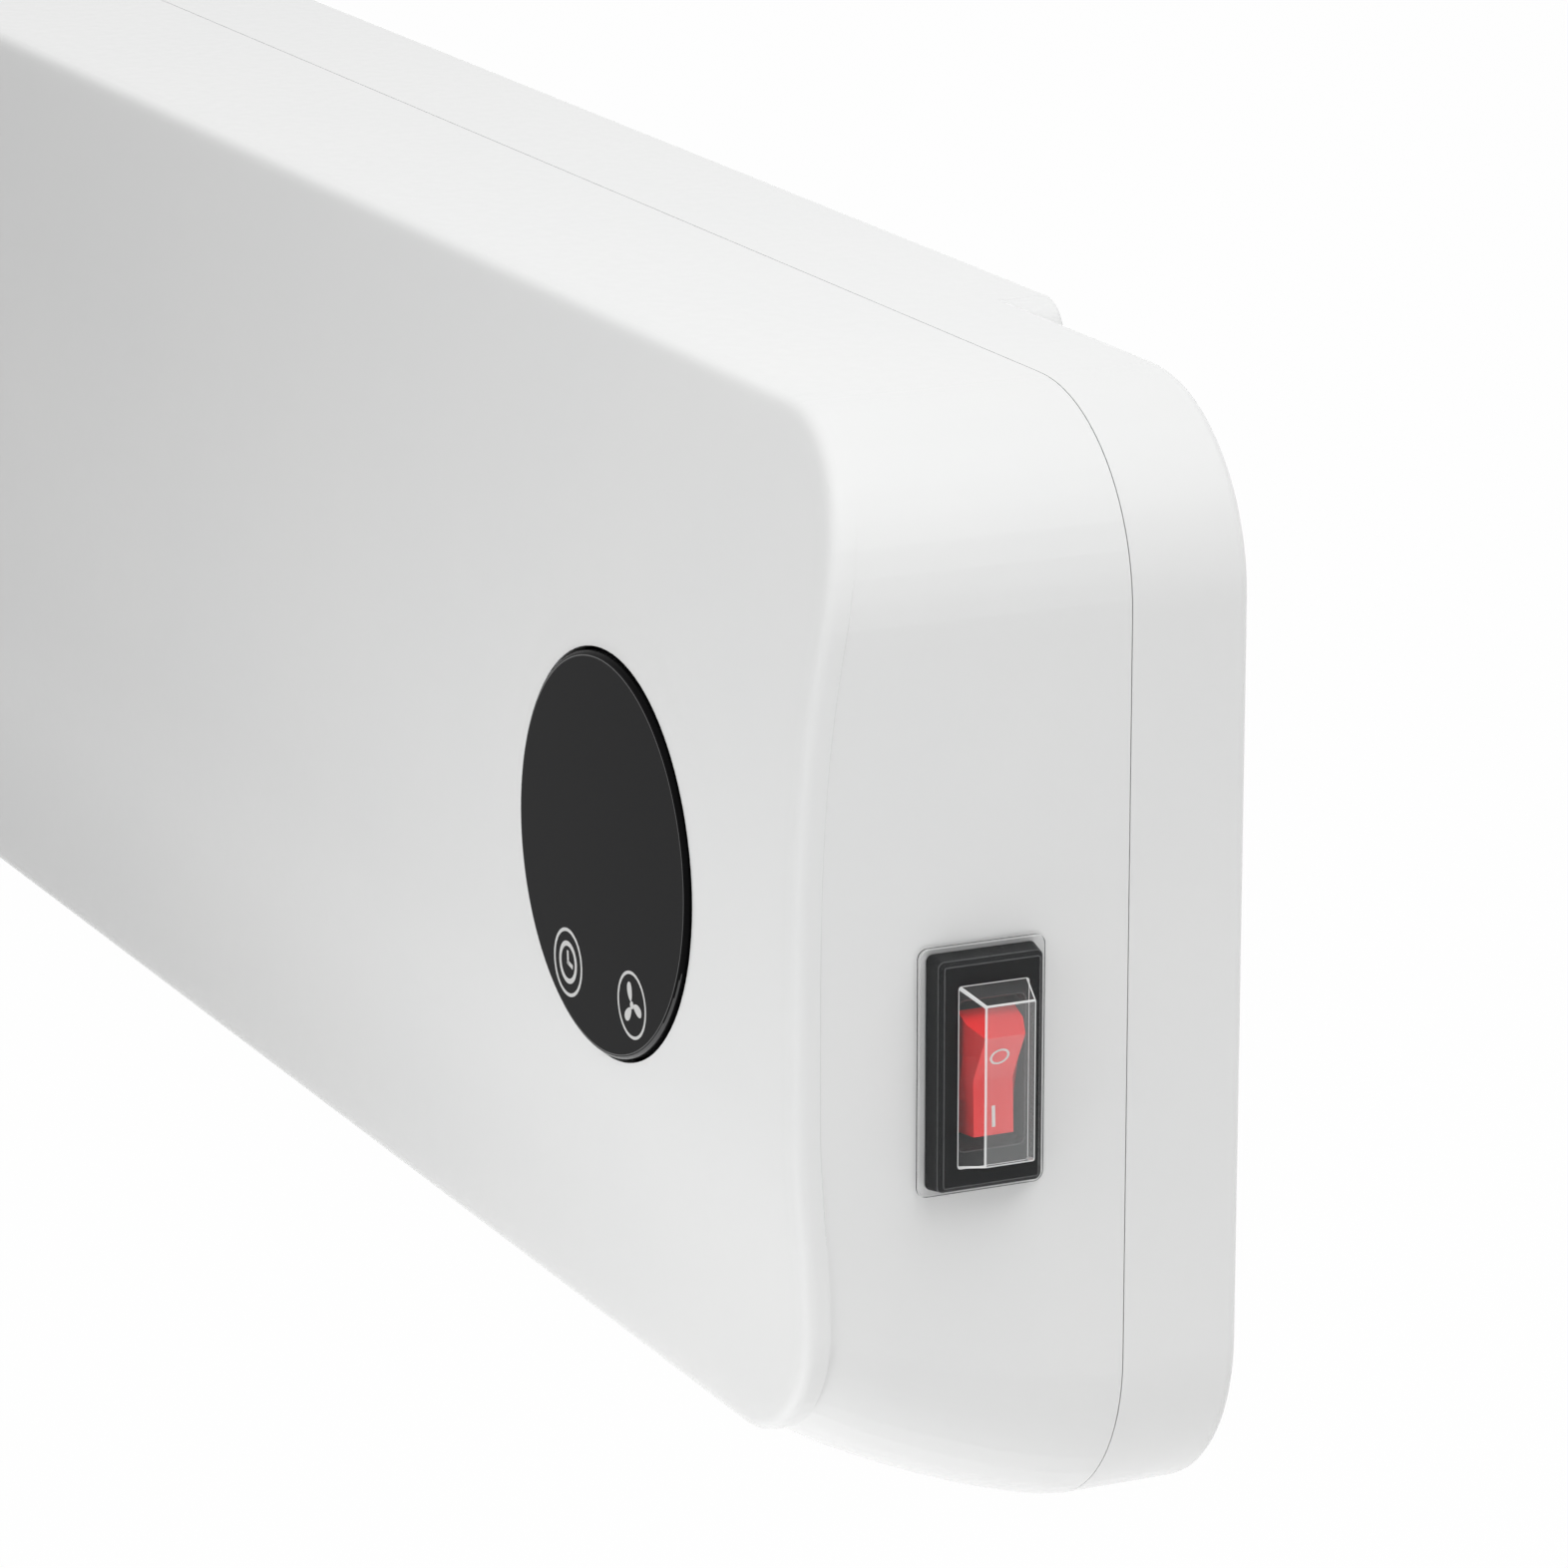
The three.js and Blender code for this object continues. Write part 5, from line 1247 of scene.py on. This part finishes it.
@dataclass
class SafetySwitch:
    """Splash-proof rocker switch on the right-hand end."""

    form: CaseForm
    cover_width: float = 22.8
    cover_height: float = 42.2
    cover_wall: float = 0.4
    bezel_width: float = 20.2
    bezel_height: float = 40.7
    side_draft: float = 0.6
    face_chamfer: float = 0.75
    bezel_depth: float = 4.6
    dome_width: float = 12.9
    dome_height: float = 31.4
    dome_reach: float = 11.5
    dome_top_width: float = 9.2
    dome_top_height: float = 27.7
    dome_corner: float = 0.5
    dome_edge: float = 0.26
    rocker_width: float = 10.4
    rocker_face_width: float = 7.3
    rocker_height: float = 21.2
    rocker_tip: float = 6.6
    rocker_waist: float = 4.2
    rocker_keel: float = 5.0
    tilt: float = 12.5
    pivot_out: float = 1.0
    lip_inset: float = 1.35

    Y: ClassVar[float] = -27.4
    Z: ClassVar[float] = 89.5
    SNAP_BODY: ClassVar[tuple[float, float]] = (7.3, 16.5)  # half its width and height
    CAP_FINISHES: ClassVar[tuple[Finish, ...]] = (CLEAR_PVC, PVC_EDGE_HIGHLIGHT, PVC_FRONT_SHEEN, PVC_FLANK_SHEEN, PVC_SHADE)

    def build(self) -> None:
        """Model the bezel, the key and the clear cap."""
        self.bezel()
        self.key()
        self.cap()

    def slab(self, name: str, out: tuple[float, float], width: float, height: float, radius: float) -> Piece:
        """Add a round-cornered slab that stands out of the end wall.

        Args:
            name: Name of the slab.
            out: Where it starts and ends, out from the wall.
            width: Size along y.
            height: Size along z.
            radius: Radius of its four corners.

        Returns:
            The slab.
        """
        x, w, h = self.form.half, width / 2, height / 2
        slab = Bench.block(name, (x + out[0], self.Y - w, self.Z - h), (x + out[1], self.Y + w, self.Z + h))
        Bench.round_edges(slab, along(Axis.X), radius, 6)
        return slab

    def draw_in(self, slab: Piece, out: float, width: float, height: float) -> None:
        """Scale the slab's outermost face to a new size, which tapers its walls.

        Args:
            slab: The slab.
            out: Where that face lies, out from the wall.
            width: Size along y.
            height: Size along z.
        """
        if Bench.pick(slab, "FACE", at(Axis.X, self.form.half + out)):
            mesh = bmesh.from_edit_mesh(slab.data)
            span = [max(v.co[i] for v in mesh.verts) - min(v.co[i] for v in mesh.verts) for i in (1, 2)]
            bpy.ops.transform.resize(
                value=(1, width * MM / span[0], height * MM / span[1]),
                center_override=Bench.spot((self.form.half + out, self.Y, self.Z)),
            )
        Bench.leave()

    def hood(self, name: str, start: float, margin: float, radius: float) -> Piece:
        """Build the bezel's tapered, chamfered outline, grown by a margin all round.

        Args:
            name: Name of the solid.
            start: Where it starts, out from the wall.
            margin: Distance that it stands outside the bezel.
            radius: Radius of its four corners.

        Returns:
            The solid.
        """
        end = self.bezel_depth + margin
        width, height = self.bezel_width + 2 * margin, self.bezel_height + 2 * margin
        hood = self.slab(name, (start, end), width, height, radius)
        self.draw_in(hood, end, width - 2 * self.side_draft, height - 2 * self.side_draft)
        Bench.round_edges(hood, at(Axis.X, self.form.half + end), self.face_chamfer, 1)
        return hood

    def bezel(self) -> None:
        """Model the black bezel, its snap-in body and the well of the key."""
        x, y, z = self.form.half, self.Y, self.Z
        bezel = self.hood("switch_bezel", 0.3, 0.0, 1.2)
        wide, high = self.SNAP_BODY
        core = Bench.block("snap_body", (x - 18, y - wide, z - high), (x + 1, y + wide, z + high))
        Bench.round_edges(core, along(Axis.X), 1.0, 3)
        Bench.boolean(bezel, [core], "UNION")
        inner, tall = self.rocker_width + 0.6, self.rocker_height + 3.6
        well = self.slab("well", (-9, 9), inner, tall, 1.0)
        flare = self.slab("flare", (3.2, 5.0), inner, tall, 1.0)
        self.draw_in(flare, 5.0, inner + 1.6, tall + 1.6)
        seats = [
            Bench.drum("pin_seat", (x + self.pivot_out, y + side * 5.9, z), 1.3, 1.9, Axis.Y, 24) for side in (-1, 1)
        ]
        Bench.boolean(bezel, [well, flare, *seats])
        Bench.soften(bezel, 0.2, 2, 30.0)
        settle_piece(bezel, Body.HEATER, BLACK_NYLON, "black_plastic", "switch_body")
        # Thin bevel strips get painted highlight.
        trim(bezel, NYLON_EDGE_HIGHLIGHT, thin_faces(bezel, 0.14))

    def key(self) -> None:
        """Model the V-shaped translucent key, tilted as at rest, with its two printed marks."""
        x, half, tip = self.form.half + self.pivot_out, self.rocker_height / 2, self.rocker_tip
        lip = half - self.lip_inset
        key = Bench.block(
            "rocker_key", (x - self.rocker_keel, self.Y - self.rocker_width / 2, self.Z - half),
            (x + tip, self.Y + self.rocker_width / 2, self.Z + half),
        )
        steps = (-0.8, -0.6, -0.4, -0.2, -0.05, 0.05, 0.2, 0.4, 0.6, 0.8)
        Bench.slice_up(key, Axis.Z, [self.Z + u * half for u in steps])
        Bench.slice_up(key, Axis.X, [x - 1.25, x + 2.4])

        def vee(p: Vector) -> Vector:
            """Bend the block to a V in front and a keel behind, drawn in on its flanks.

            Args:
                p: Point of the block.

            Returns:
                Where it goes.
            """
            out, rise = p.x - x, p.z - self.Z
            share = abs(rise) / half
            if 2 < out < tip - 0.01:
                p.z = self.Z + rise * (half + lip) / 2 / half
            if out > tip - 0.01:
                p.x = x + self.rocker_waist + (tip - self.rocker_waist) * max(share - 0.05, 0) / 0.95
                p.y = self.Y + (p.y - self.Y) * self.rocker_face_width / self.rocker_width
                p.z = self.Z + rise * lip / half
            elif out < -self.rocker_keel + 0.01:
                p.x = x - self.rocker_keel + 3.4 * max(share - 0.19, 0) / 0.81
                p.z = self.Z + rise * 0.98
            return p

        Bench.shape(key, vee)
        pins = Bench.drum("pins", (x, self.Y, self.Z), 1.0, self.rocker_width + 2.4, Axis.Y, 24)
        Bench.boolean(key, [pins], "UNION")
        Bench.soften(key, 0.4, 3, 32.0)
        marks = [self.mark_off(x), self.mark_on(x)]
        for obj in (key, *marks):
            Bench.swing(obj, (x, self.Y, self.Z), math.radians(self.tilt))
        # Faces turned sideways get the darker red of painted shade.
        flanks = [face.index for face in key.data.polygons if abs(face.normal.y) > 0.6]
        settle_piece(key, Body.ROCKER, RED_PC, "red_acrylic", "switch_rocker")
        trim(key, RED_FLANK_SHADE, flanks)
        for mark in marks:
            settle_piece(mark, Body.ROCKER, WHITE_PRINT, "red_acrylic")

    def flank(self, rise: float, x: float) -> tuple[Vector, float]:
        """Find a spot on the V's surface.

        Args:
            rise: Height above the bottom of the V.
            x: Place of the pins.

        Returns:
            The spot in case millimetres, and the flank's lean in radians.
        """
        lip = self.rocker_height / 2 - self.lip_inset
        depth = self.rocker_tip - self.rocker_waist
        share = max(abs(rise) / lip - 0.05, 0) / 0.95
        lean = math.copysign(math.atan2(depth, lip * 0.95), rise)
        return Vector((x + self.rocker_waist + depth * share, self.Y, self.Z + rise)), lean

    def mark_off(self, x: float) -> Piece:
        """Print the round mark on the upper half.

        Args:
            x: Place of the pins.

        Returns:
            The mark.
        """
        spot, lean = self.flank(4.9, x)
        mark = Bench.drum("mark_off", (spot.x + 0.03, spot.y, spot.z), 1.75, 0.1, Axis.X, 48)
        Bench.boolean(mark, [Bench.drum("core", spot, 1.35, 2, Axis.X, 48)])
        return Bench.swing(mark, spot, lean)

    def mark_on(self, x: float) -> Piece:
        """Print the straight mark on the lower half.

        Args:
            x: Place of the pins.

        Returns:
            The mark.
        """
        spot, lean = self.flank(-6.2, x)
        low, high = (spot.x - 0.02, spot.y - 0.3, spot.z - 1.8), (spot.x + 0.08, spot.y + 0.3, spot.z + 1.8)
        mark = Bench.block("mark_on", low, high)
        return Bench.swing(mark, spot, lean)

    def cap(self) -> None:
        """Model the clear cap: a flange on the wall, a skin over the bezel and a tapered dome over the key."""
        wall, gap, half = self.cover_wall, 0.1, self.form.half
        base = self.bezel_depth + gap + wall
        outside = self.hood("clear_cap", 0.3, gap + wall, 1.5)
        self.mark(outside, lambda face: CLEAR_PVC)
        # The root's sides are a dark line of painted shade.
        root = self.slab("flange_root", (0.3, 0.62), self.cover_width + 0.6, self.cover_height + 0.7, 1.8)
        self.mark(root, lambda face: PVC_SHADE if abs(face.normal.x) < 0.5 else CLEAR_PVC)
        # The flange's outward sides carry painted highlight.
        flange = self.slab("flange", (0.5, 0.92), self.cover_width + 0.15, self.cover_height + 0.3, 1.7)
        self.mark(flange, lambda face: PVC_EDGE_HIGHLIGHT if abs(face.normal.x) < 0.5 else CLEAR_PVC)
        dome = self.slab("dome", (base - 0.2, self.dome_reach), self.dome_width, self.dome_height, self.dome_corner)
        self.draw_in(dome, self.dome_reach, self.dome_top_width, self.dome_top_height)
        Bench.round_edges(dome, at(Axis.X, half + self.dome_reach), self.dome_edge, 2)
        self.mark(dome, self.dome_finish)
        # The dome's foot is a band of painted highlight.
        foot = self.slab("dome_foot", (base - 0.1, base + 0.1), self.dome_width + 0.1, self.dome_height + 0.1, 0.6)
        self.mark(foot, lambda face: PVC_EDGE_HIGHLIGHT)
        Bench.boolean(outside, [root, flange, foot, dome], "UNION")
        inside = self.hood("cap_hollow", 0.0, gap, 1.3)
        self.mark(inside, lambda face: CLEAR_PVC)
        roof = self.dome_reach - 0.8
        vault = self.slab("vault", (self.bezel_depth - 1, roof), self.dome_width - 1.6, self.dome_height - 1.6, 0.5)
        self.draw_in(vault, roof, self.dome_top_width - 1.2, self.dome_top_height - 1.2)
        self.mark(vault, lambda face: CLEAR_PVC)
        Bench.boolean(outside, [inside, vault])
        Bench.soften(outside, 0.0, angle=25.0)
        kinds = [face.material_index for face in outside.data.polygons]
        settle_piece(outside, Body.HEATER, CLEAR_PVC, "clear_pvc", "switch_cover")
        for kind, finish in enumerate(self.CAP_FINISHES[1:], start=1):
            trim(outside, finish, [index for index, marked in enumerate(kinds) if marked == kind])

    @staticmethod
    def dome_finish(face: bpy.types.MeshPolygon) -> Finish:
        """Tell a dome's edge, front and flank faces apart, for painted highlight and painted sheen.

        Args:
            face: A face of the dome.

        Returns:
            Its finish.
        """
        # Small faces get painted highlight; the front flats and the flanks get painted sheen.
        if face.area < 40 * MM * MM:
            return PVC_EDGE_HIGHLIGHT
        return PVC_FRONT_SHEEN if face.normal.x > 0.9 else PVC_FLANK_SHEEN

    @classmethod
    def mark(cls, obj: Piece, kind: Callable[[bpy.types.MeshPolygon], Finish]) -> None:
        """Number each face with one of the cap's finishes, which joins and cuts carry along.

        Args:
            obj: A part of the cap.
            kind: Given a face, names its finish.
        """
        for finish in cls.CAP_FINISHES:
            obj.data.materials.append(finish.material())
        for face in obj.data.polygons:
            face.material_index = cls.CAP_FINISHES.index(kind(face))


# ------------------------------------------------------------------ outlet


@dataclass
class OutletVane:
    """Swinging vane that closes the outlet in the underside."""

    form: CaseForm
    pivot_y: float = -31.0
    pivot_z: float = 28.0
    ear_wall: float = 2.4

    def build(self) -> None:
        """Model the curved skin, its ears and its pins."""
        end_gap, front_gap, rear_gap = 1.2, 2.2, 0.9
        left, right = self.form.outlet_x[0] + end_gap, self.form.outlet_x[1] - end_gap
        low, high = self.form.outlet_y[0] + front_gap, self.form.outlet_y[1] - rear_gap
        vane = Bench.block("outlet_vane", (left, low, 0), (right, high, 2.0))
        Bench.slice_up(vane, Axis.Y, [low + (high - low) * i / 20 for i in range(1, 20)])
        Bench.shape(vane, lambda p: Vector((p.x, p.y, p.z + self.form.chin_z(p.y))))
        thick = self.ear_wall
        ears = [self.ear(start) for start in (left, (left + right) / 2 - thick / 2, right - thick)]
        ears.append(Bench.drum("pin", (left - 1.1, self.pivot_y, self.pivot_z), 2.0, 4.2, Axis.X, 24))
        ears.append(Bench.drum("boss", (right - 4.6, self.pivot_y, self.pivot_z), 4.0, 6.8, Axis.X, 32))
        Bench.boolean(vane, ears, "UNION")
        Bench.boolean(vane, [Bench.drum("socket", (right - 2.5, self.pivot_y, self.pivot_z), 2.3, 7.0, Axis.X, 24)])
        Bench.soften(vane, 0.3, 2, 35.0)
        settle_piece(vane, Body.LOUVRE, WHITE_ABS, "white_abs", "louvre_vane")

    def ear(self, start: float) -> Piece:
        """Add one ear that reaches from the skin up to the pivot.

        Args:
            start: Where the ear's left side lies.

        Returns:
            The ear.
        """
        foot, reach = self.form.chin_z(self.pivot_y) + 1, 9
        low = (start, self.pivot_y - reach, foot - 5)
        ear = Bench.block("ear", low, (start + self.ear_wall, self.pivot_y + reach, self.pivot_z + 4.5))
        Bench.slice_up(ear, Axis.Z, [foot + 8])

        def taper(p: Vector) -> Vector:
            """Narrow the ear towards its top and lay its foot along the skin.

            Args:
                p: Point of the block.

            Returns:
                Where it goes.
            """
            if p.z > self.pivot_z:
                p.y = self.pivot_y + (p.y - self.pivot_y) * 0.42
            elif p.z < foot:
                p.z = self.form.chin_z(p.y) + 1
            return p

        Bench.shape(ear, taper)
        upper = (self.pivot_z + CASE_TO_WALL.z + 3) * MM
        Bench.round_edges(ear, lambda e: along(Axis.X)(e) and e.verts[0].co.z > upper, 3.4, 6)
        return ear


# ------------------------------------------------------------------ carried-over nodes


NODE_FINISHES: dict[Finish, tuple[str, ...]] = {
    WHITE_ABS: ("front_housing", "rear_housing", "louvre_vane"),
    WHITE_ABS_SATIN: ("intake_grille",),
    GREY_PBT: ("air_guide_front", "air_guide_rear", "duct_end_left", "duct_end_right"),
    BLACK_PBT: ("fan_impeller", "infrared_receiver", "power_module"),
    BLACK_GLASS: ("display_glass",),
    SMOKED: ("display_digits",),
    BLACK_NYLON: ("switch_body",),
    CLEAR_PVC: ("switch_cover",),
    RED_PC: ("switch_rocker",),
    RUBBER: ("standoff_pad_left", "standoff_pad_right", "cable_gland", "bearing_mount"),
    ZINC_STEEL: (
        "case_screw_1", "case_screw_2", "case_screw_3", "case_screw_4", "touch_contact_timer", "touch_contact_mode",
        "louvre_shaft", "louvre_motor", "left_stub_shaft", "motor_shaft", "motor_bracket_inner",
        "motor_bracket_outer", "thermal_fuse", "board_screw_1", "board_screw_2",
    ),
    LAMINATED: ("motor_stator", "motor_rotor"),
    COPPER: ("motor_coil",),
    BRASS: ("switch_terminal_1", "switch_terminal_2", "bearing_bush"),
    ALUMINIUM: ("heating_element_front", "heating_element_rear"),
    HEAT_DARK: ("element_holder_left", "element_holder_right", "thermal_cutout"),
    FIBRE_BOARD: ("display_board", "control_board"),
    RELAY_BLUE: ("relay_1", "relay_2"),
    FILM_YELLOW: ("capacitor",),
    TERMINAL_GREEN: ("terminal_block",),
}


def dress_nodes(nodes: dict[str, Piece]) -> None:
    """Give every CAD node the finish of the thing it is.

    Args:
        nodes: The frame's nodes by name.
    """
    for finish, names in NODE_FINISHES.items():
        for name in names:
            finish.dress(nodes[name])
    plain = set(nodes) - {name for names in NODE_FINISHES.values() for name in names}
    log.info("nodes with no finish: %s", sorted(plain) or "none")


# ------------------------------------------------------------------ studio


@dataclass
class Studio:
    """Camera, lamps, pale floor and backdrop."""

    camera_at: Point = (1303.32, -547.90, 458.00)
    camera_aim: Point = (135.80, 0.0, 100.70)
    lens: float = 168.885
    floor_z: float = -260.0

    def build(self) -> None:
        """Set the whole studio up."""
        self.camera()
        self.lamps()
        self.floor()
        self.world()
        bpy.context.scene.view_settings.view_transform = "Standard"

    def camera(self) -> None:
        """Place the camera at the photograph's viewing angle."""
        data = bpy.data.cameras.new("viewpoint")
        data.lens = self.lens
        data.sensor_width = 36.0
        data.clip_start, data.clip_end = 0.05, 20.0
        bpy.context.scene.camera = self.hang(data, Bench.spot(self.camera_at), Bench.spot(self.camera_aim))

    @staticmethod
    def hang(data: bpy.types.ID, place: Vector, aim: Vector) -> Piece:
        """Put a camera or lamp at a place, turned to its aim, both in metres.

        Args:
            data: The camera or lamp.
            place: Where it hangs.
            aim: What it looks at.

        Returns:
            The object.
        """
        obj = bpy.data.objects.new(data.name, data)
        bpy.context.collection.objects.link(obj)
        obj.location = place
        obj.rotation_euler = (aim - place).to_track_quat("-Z", "Y").to_euler()
        return obj

    @classmethod
    def lamp(cls, name: str, place: Point, aim: Point, size: float, power: float) -> None:
        """Hang one soft lamp, with places in metres and power in watts; gloss sees the room instead of it.

        Args:
            name: Name of the lamp.
            place: Where it hangs.
            aim: What it looks at.
            size: Width of its disc.
            power: Watts.
        """
        data = bpy.data.lights.new(name, "AREA")
        data.shape = "DISK"
        data.size = size
        data.energy = power
        lamp = cls.hang(data, Vector(place), Vector(aim))
        lamp.visible_glossy = False
        lamp.visible_camera = False

    def lamps(self) -> None:
        """Light the top from above, the front from both its right-hand corners, and the end from below."""
        self.lamp("top_softbox", (0.8, 0.5, 1.8), (0.0, -0.03, -0.05), 2.2, 31.3)
        self.lamp("front_high_softbox", (0.35, -0.5, 0.2), (0.2, -0.09, -0.09), 0.5, 0.83)
        self.lamp("front_low_softbox", (0.25, -0.3, -0.3), (0.24, -0.09, -0.16), 0.25, 0.31)
        self.lamp("end_low_softbox", (0.8, -0.05, -0.4), (0.27, -0.02, -0.15), 0.3, 0.74)

    def floor(self) -> None:
        """Lay a pale floor that reads white from above, keeps the shadow and lets the camera look up through it."""
        Bench.clear()
        bpy.ops.mesh.primitive_plane_add(size=14.0, location=Bench.spot((0, 0, self.floor_z)))
        floor = bpy.context.active_object
        floor.name = floor.data.name = "studio_floor"
        paint = bpy.data.materials.new("studio_paper_white")
        paint.use_nodes = True
        tree = paint.node_tree
        tree.nodes.clear()
        ray = add_node(tree, "ShaderNodeLightPath")
        matt = add_node(tree, "ShaderNodeBsdfDiffuse", {"Color": linear("#EDEDED")})
        white = add_node(tree, "ShaderNodeEmission", {"Color": (1, 1, 1, 1), "Strength": 1.0})
        share = {0: self.seen(tree, ray), 1: 0.985}
        seen = add_node(tree, "ShaderNodeMath", share, operation="MULTIPLY")
        blend = add_node(tree, "ShaderNodeMixShader", {0: seen.outputs[0], 1: matt.outputs[0], 2: white.outputs[0]})
        sheet = add_node(tree, "ShaderNodeNewGeometry")
        clear = add_node(tree, "ShaderNodeBsdfTransparent")
        hidden = {0: sheet.outputs["Backfacing"], 1: ray.outputs["Is Camera Ray"]}
        below = add_node(tree, "ShaderNodeMath", hidden, operation="MULTIPLY")
        sides = add_node(tree, "ShaderNodeMixShader", {0: below.outputs[0], 1: blend.outputs[0], 2: clear.outputs[0]})
        add_node(tree, "ShaderNodeOutputMaterial", {"Surface": sides.outputs[0]})
        floor.data.materials.append(paint)

    @staticmethod
    def seen(tree: bpy.types.NodeTree, ray: bpy.types.Node) -> bpy.types.NodeSocket:
        """Tell whether the camera sees a surface straight, in a reflection or through a clear one.

        Args:
            tree: Node tree to add to.
            ray: Its light path node.

        Returns:
            The answer, 0 or 1.
        """
        seen = ray.outputs["Is Camera Ray"]
        for kind in ("Is Glossy Ray", "Is Transmission Ray"):
            seen = add_node(tree, "ShaderNodeMath", {0: seen, 1: ray.outputs[kind]}, operation="MAXIMUM").outputs[0]
        return seen

    @classmethod
    def world(cls) -> None:
        """Fill the room with an even pale light that the camera, glass and gloss see as white."""
        world = bpy.data.worlds.new("studio_room")
        bpy.context.scene.world = world
        world.use_nodes = True
        tree = world.node_tree
        tree.nodes.clear()
        seen = cls.seen(tree, add_node(tree, "ShaderNodeLightPath"))
        room = add_node(tree, "ShaderNodeBackground", {"Color": (1, 1, 1, 1), "Strength": 0.3})
        white = add_node(tree, "ShaderNodeBackground", {"Color": (1, 1, 1, 1), "Strength": 1.0})
        blend = add_node(tree, "ShaderNodeMixShader", {0: seen, 1: room.outputs[0], 2: white.outputs[0]})
        add_node(tree, "ShaderNodeOutputWorld", {"Surface": blend.outputs[0]})


def main() -> None:
    """Build every piece in order."""
    logging.basicConfig(level=logging.INFO, format="%(name)s: %(message)s")
    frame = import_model()
    Bench.clear()
    studio = Studio()
    studio.build()
    form = CaseForm()
    dress_nodes(frame["nodes"])
    FrontMoulding(form).build()
    RearMoulding(form).build()
    BackFittings(form).build()
    DisplayUnit(form).build()
    SafetySwitch(form).build()
    OutletVane(form).build()
    Bench.clear()


if __name__ == "__main__":
    main()
